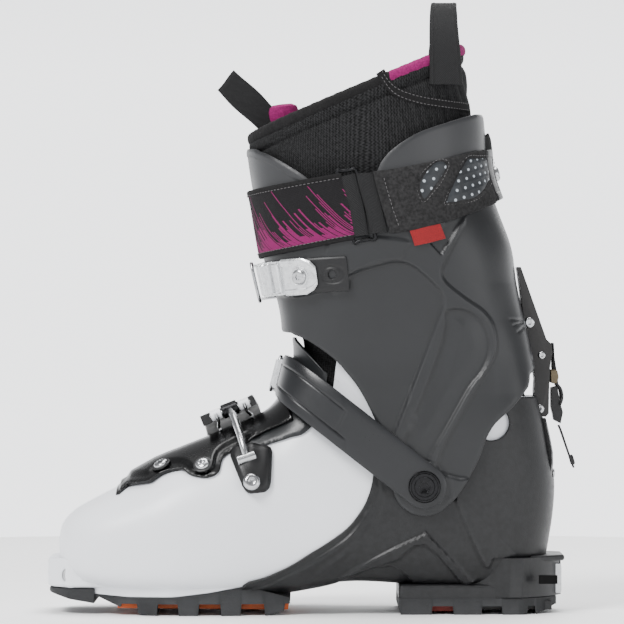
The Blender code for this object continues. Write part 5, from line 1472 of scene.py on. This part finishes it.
def walk_lever():
    """The lever at the back, its bolts, the catch below it, and its pull."""
    dress("walk_lever", LEVER, 0.7)
    dress("walk_hinge_block", GUNMETAL, 0.5)
    dress("heel_catch", BLACK, 0.6)
    for name, at, radius in (("pivot", LEVER_PIVOT, 2.9), ("middle", (65.3, 140.3), 2.1),
                             ("lock", LOCK_BOLT, 2.5)):
        nodes = {"pivot": ("walk_lever_bolt",), "lock": ("lock_bolt",)}.get(name, ())
        body = "cuff_body" if name == "pivot" else "walk_lever_body"
        for side in (NEAR, FAR):
            screw(f"lever_{name}_{'near' if side < 0 else 'far'}", (at[0], side * 9.35, at[1]), (0, side, 0),
                  STEEL, body, radius, 1.1, nodes if side < 0 else (), 1.0, star=False)
        if name != "middle":
            turned(f"lever_{name}_shaft", ((0, -9.4), (1.65, -9.4), (1.65, 9.4), (0, 9.4)), (at[0], 0, at[1]),
                   (0, 1, 0), STEEL, body, 24)
    at, normal, _ = spot(FOOT.at, 13.09, 0.0, 2.6)
    screw("catch_screw", at, normal, STEEL, "shell", 2.6, 1.2, ("heel_catch_screw",), star=False)
    prism("pull_strip", [(71.2, 147.2), (72.2, 147.0), (72.6, 139), (74.2, 129), (74.6, 124.8), (73.2, 124.4),
                         (71.2, 133.9), (71.6, 142)], -6, 6, WEBBING, "walk_lever_body",
          nodes=("pull_webbing",), width=0.4)
    dress("pull_slider", BLACK, 0.7)
    loop = [(73.6, -7.0, 124.6), (75.9, -7.0, 121.6), (76.6, -7.0, 117.2), (75.6, -7.0, 113.6)]
    path = loop + [(x, 7.0, z) for x, _, z in loop[::-1]]
    wire("slider_wire", path, 0.8, BLACK, "walk_lever_body", sides=12, fine=5)
    prism("buckle_tan", [(69.9, 132.6), (74.0, 132.2), (74.9, 128.2), (73.6, 124.4), (70.2, 125.2)], -7.2,
          7.2,
          BRONZE, "walk_lever_body", width=0.8)
    turned("cord_tip", ((0, -3), (0.9, -3), (1.3, -2.2), (1.35, 1.6), (0.9, 2.6), (0, 2.6)), (82.4, 0, 82.6),
           unit((0.3, 0, -1.0)), BLACK, "walk_lever_body", 24)


# ---------------------------------------------------------------- liner and pull loops

COLLAR_TOP = 18.0       # the liner's last station


def liner():
    """The liner: one soft boot, whose collar has a bound rim, pleats and a double-stitched band."""
    rows = np.r_[np.linspace(0, 12, 130), np.linspace(12, COLLAR_TOP, 200)[1:]]
    columns = np.linspace(0, 2 * PI, 260, endpoint=False)
    fine = np.linspace(0, COLLAR_TOP, 400)
    run = run_along(LINER.at(fine, np.full(fine.shape, PI / 2))[0])

    def lift(point, gap, along, around):
        """Swells of the padding, a groove under the rim, and vertical pleats on the near rear side."""
        x = point[..., 0]
        down = np.linalg.norm(point - LINER.at(np.full(along.shape, COLLAR_TOP), around)[0], axis=-1)
        swell = 0.5 * np.sin(around * 3.0 + along * 1.3) + 0.35 * np.sin(along * 4.1 - around * 2.0)
        roll = 0.9 * np.exp(-((down - 4.5) / 3.6) ** 2) - 1.3 * np.exp(-((down - 9.6) / 1.1) ** 2)
        rear = ramp(x, -26, -20) * ramp(along, 16.2, 16.5)
        pleats = 1.1 * np.abs(np.sin((x + 0.35 * (point[..., 2] - 290)) * PI / 4.4)) * rear * ramp(down, 11,
                                                                                                   14)
        cap = ramp(along, 0.3, 2.0)
        return (swell * 0.6 * ramp(along, 13, 15) + roll * ramp(along, 14, 16) + pleats) * cap - 0.1

    def strip(along, around):
        girth = np.interp(along, (0, 6, 12, 18), (24.0, 40.0, 42.0, 50.0))
        return np.stack([around * girth, np.interp(along, fine, run), 0 * along], -1)

    made = sculpt("liner_boot", LINER.at, rows, columns, KNIT, None, lift, 5.6, 2.0, wrap=True, strip=strip,
                  nodes=("liner_foot", "liner_ankle", "liner_cuff"))
    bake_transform(made)
    trim_rim()
    profile = ((0, -6), (7, -6), (8.6, -2), (8.8, 1.6), (8.1, 4.2), (5.6, 5.5), (0, 5.9))
    turned("lining_front", profile, (-76.5, 2, 272.6), (-0.12, 0, 1), LINING, "cuff_body", 40)
    lining()
    liner_band()
    pull_loops()


def trim_rim():
    """The roll that binds the collar's rim: dark in front and on the sides, bright behind."""
    sides = np.linspace(0, PI, 400)
    back = float(np.interp(19.0, -LINER.at(np.full(400, COLLAR_TOP), sides)[0][:, 0], sides))
    for name, low, high, look in (("rim_front", back, 2 * PI - back, RIM), ("rim_rear", -back, back, LINING)):
        around = np.linspace(low, high, 300 if look is RIM else 160)
        count = len(around)
        line, normal = LINER.at(np.full(count, 17.94), around)
        line = line + normal * -2.2
        up = unit(LINER.at(np.full(count, 17.95), around)[0] - LINER.at(np.full(count, 17.5), around)[0])
        run = run_along(line)
        swell = 1 + 0.03 * np.sin(run * 0.9) + 0.02 * np.sin(run * 2.3)
        bar(name, line, normal, up, 3.7 * swell, 3.5 * swell, 0.85, 22, 1.1, look, "cuff_body")


def lining():
    """The bright lining inside the collar."""
    rows = np.linspace(14.4, 17.9, 80)
    columns = np.linspace(0, 2 * PI, 200, endpoint=False)

    def lift(point, gap, along, around):
        return -5.4 - 0.25 * np.sin(around * 5 + along * 2)

    made = sculpt("collar_lining", LINER.at, rows, columns, LINING, "cuff_body", lift, 1.6, 0.3, wrap=True)


def liner_band():
    """A curved tape with two rows of stitches across the pleats."""
    for side in (NEAR, FAR):
        line = smooth(((-24, 293.5), (-19, 286), (-13, 281.6), (-2, 278.2), (12, 276.3), (24, 275.4)), 12)
        path, outs = on_liner(line, side, 1.0)
        name = "near" if side < 0 else "far"
        binding(f"collar_tape_{name}", path, outs, 2.6, 0.9, RIM, "cuff_body")
        for row, shift in (("a", 1.7), ("b", -1.7)):
            moved = [(x, z + shift) for x, z in line]
            surface, length = followed(*on_liner(moved, side, 1.95))
            stitch_row(f"tape_stitch_{name}_{row}", surface, 0, length, 0.0, 0.0, THREAD, "cuff_body", 2.2,
                       1.4,
                       0.22)


def on_liner(line, side, lift):
    """The points of the collar's surface that a side-view line crosses."""
    along, around = np.meshgrid(np.linspace(15, 18, 160), np.linspace(0.05, PI - 0.05, 160), indexing="ij")
    if side > 0:
        around = 2 * PI - around
    path, outs = laid_on(line, *LINER.at(along, around))
    path = path + outs * lift
    for _ in range(4):
        path[1:-1, 1] = (path[:-2, 1] + path[1:-1, 1] + path[2:, 1]) / 3
    return path, outs


def pull_loops():
    """The folded loop at the front of the collar and the arch over its back."""
    def fold(part, over):
        """Down one leaf, round the fold at the tip and back."""
        reach = np.abs(part)
        along = 15.6 - 39 * reach
        y = np.sign(part) * (0.95 + 0.75 * np.sin(np.clip(reach, 0, 1) * PI * 0.8)) * np.clip(reach / 0.05, 0,
                                                                                              1)
        x = -97.0 - 0.72 * along + 4.9 * over + 0.6 * np.sin(over * 2 + along * 0.2)
        z = 281.0 + 0.69 * along + 5.4 * over
        return np.stack([x, y, z], -1)

    grid, span = np.meshgrid(np.linspace(-1, 1, 60), np.linspace(-1, 1, 18), indexing="ij")
    sheet = fold(grid, span)
    step = 0.01
    out = unit(np.cross(fold(grid + step, span) - fold(grid - step, span),
                        fold(grid, span + step) - fold(grid, span - step)))
    rows, columns = grid.shape
    index = np.arange(rows * columns).reshape(rows, columns)
    faces = [(int(index[i, j]), int(index[i + 1, j]), int(index[i + 1, j + 1]), int(index[i, j + 1]))
             for i in range(rows - 1) for j in range(columns - 1)]
    flat, closed, origin = walled(sheet.reshape(-1, 3), out.reshape(-1, 3), faces, 0.7, 0.15)
    note = np.stack([grid * 39, span * 6.8, 0 * grid], -1).reshape(-1, 3)[origin]
    closed_piece("front_loop", flat, closed, WEBBING, "cuff_body", ("pull_loop_front",), note)

    def place(part, over):
        turn = part * PI / 2
        y = 41.0 * signed_power(np.sin(turn), 0.75)
        z = 286 + 47 * np.cos(turn) ** 0.8
        x = 12 + over * (8.8 - 2.0 * np.cos(turn)) + 1.2 * np.sin(turn * 2)
        return np.stack(np.broadcast_arrays(x, y, z), -1)

    def arch(part, over):
        inner = np.clip(part, -0.98, 0.98)
        one = place(inner + 0.01, over) - place(inner - 0.01, over)
        other = place(inner, over + 0.1) - place(inner, over - 0.1)
        return place(part, over), unit(np.cross(one, other))

    def lift(point, gap, part, over):
        return 0.7 - 0.35 * np.exp(-((np.abs(over) - 0.8) / 0.05) ** 2) + 0.1 * np.sin(part * 9)

    sculpt("rear_loop", arch, np.linspace(-0.995, 0.995, 150), np.linspace(-1, 1, 30), WEBBING, "cuff_body",
           lift,
           1.3, 0.25, nodes=("pull_loop_rear",),
           strip=lambda a, b: np.stack([a * 62, b * 7.4, 0 * a], -1))


# ---------------------------------------------------------------- cord, camera, floor and lights

CORD_ROUTE = ((75.0, -2.2, 101.9), (76.4, -2.1, 98.5), (78.6, -1.6, 92), (81, -1.1, 85), (82.8, -0.8, 80),
              (83.3, 0, 78.8), (82.8, 0.8, 80), (81, 1.1, 85), (78.6, 1.6, 92), (76.4, 2.1, 98.5),
              (75.0, 2.2, 101.9))
CORD_RADIUS = 0.55


def cord():
    """The walk lever's pull cord, one doubled length whose ends both go into the slider."""
    stations = np.linspace(0, len(CORD_ROUTE) - 1, 60)
    path = through(CORD_ROUTE, stations) * MM
    curve = bpy.data.curves.new("pull_cord_line", "CURVE")
    curve.dimensions = "3D"
    spline = curve.splines.new("POLY")
    spline.points.add(len(path) - 1)
    for point, place in zip(spline.points, path):
        point.co = (*place, 1)
    curve.bevel_depth = CORD_RADIUS * MM
    curve.bevel_resolution = 4
    curve.use_fill_caps = True
    made = bpy.data.objects.new("pull_cord_line", curve)
    bpy.context.collection.objects.link(made)
    made.data.materials.append(BRAID)
    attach(made, "walk_lever_body")
    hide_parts("pull_cord")


CAMERA_PLACE, CAMERA_LENS, CAMERA_SENSOR = (-0.0605, -2.2, 0.164), 230.8, 36
HORIZON_LIGHT, SKY_LIGHT, HORIZON_LEVEL, SKY_LEVEL = 2.9, 0.45, 0.06, 0.30
FLOOR_RADIUS, FLOOR_MIDDLE_X, FLOOR_SIDES = 0.75, -0.06, 96
LIGHT_TARGET = Vector((-0.06, 0, 0.15))
LIGHTS = (("key", (-1.1, -1.3, 1.7), 74, 0.8), ("fill", (1.3, -1.5, 0.7), 8, 1.0),
          ("top", (0.0, 0.3, 1.8), 44, 1.2), ("back", (0.4, 1.5, 1.0), 12, 1.0))


def camera():
    """A side view from far off, through a long lens."""
    lens = bpy.data.cameras.new("camera")
    lens.sensor_width = CAMERA_SENSOR
    lens.lens = CAMERA_LENS
    made = bpy.data.objects.new("camera", lens)
    made.location = CAMERA_PLACE
    made.rotation_euler = (PI / 2, 0, 0)
    bpy.context.collection.objects.link(made)
    bpy.context.scene.camera = made


def stage():
    """A pale round floor, a world that is bright at the horizon, and four soft lights."""
    mesh = bpy.data.meshes.new("floor")
    turns = np.linspace(0, 2 * PI, FLOOR_SIDES, endpoint=False)
    mesh.from_pydata([(FLOOR_RADIUS * math.cos(t) + FLOOR_MIDDLE_X, FLOOR_RADIUS * math.sin(t),
                       0) for t in turns],
                     [], [tuple(range(FLOOR_SIDES))])
    floor = bpy.data.objects.new("floor", mesh)
    bpy.context.collection.objects.link(floor)
    look = Paint("studio_floor", (0.93, 0.93, 0.93), 0.6)
    slow = look.noise(4, 2.0)
    look.paint(look.mix(look.ranged(slow, 0.3, 0.7), (0.92, 0.92, 0.92), (0.94, 0.94, 0.94)))
    mesh.materials.append(look.material)
    world = bpy.data.worlds.new("studio")
    world.use_nodes = True
    tree = world.node_tree
    tree.nodes["Background"].inputs["Color"].default_value = (0.97, 0.98, 1.0, 1)
    way = tree.nodes.new("ShaderNodeTexCoord").outputs["Generated"]
    level = tree.nodes.new("ShaderNodeSeparateXYZ")
    tree.links.new(way, level.inputs[0])
    size = tree.nodes.new("ShaderNodeMath")
    size.operation = "ABSOLUTE"
    tree.links.new(level.outputs["Z"], size.inputs[0])
    fade = tree.nodes.new("ShaderNodeMapRange")
    for socket, value in ((1, HORIZON_LEVEL), (2, SKY_LEVEL), (3, HORIZON_LIGHT), (4, SKY_LIGHT)):
        fade.inputs[socket].default_value = value
    tree.links.new(size.outputs[0], fade.inputs[0])
    tree.links.new(fade.outputs[0], tree.nodes["Background"].inputs["Strength"])
    bpy.context.scene.world = world
    for name, place, power, size in LIGHTS:
        light = bpy.data.lights.new(name, "AREA")
        light.energy = power
        light.size = size
        made = bpy.data.objects.new(name, light)
        made.location = place
        made.rotation_euler = (LIGHT_TARGET - Vector(place)).to_track_quat("-Z", "Y").to_euler()
        bpy.context.collection.objects.link(made)


cord()
camera()
stage()
lower_shell()
heel_frame()
soles()
tongue()
toe_buckle()
instep()
cuff()
power_strap()
cuff_buckle()
walk_lever()
liner()
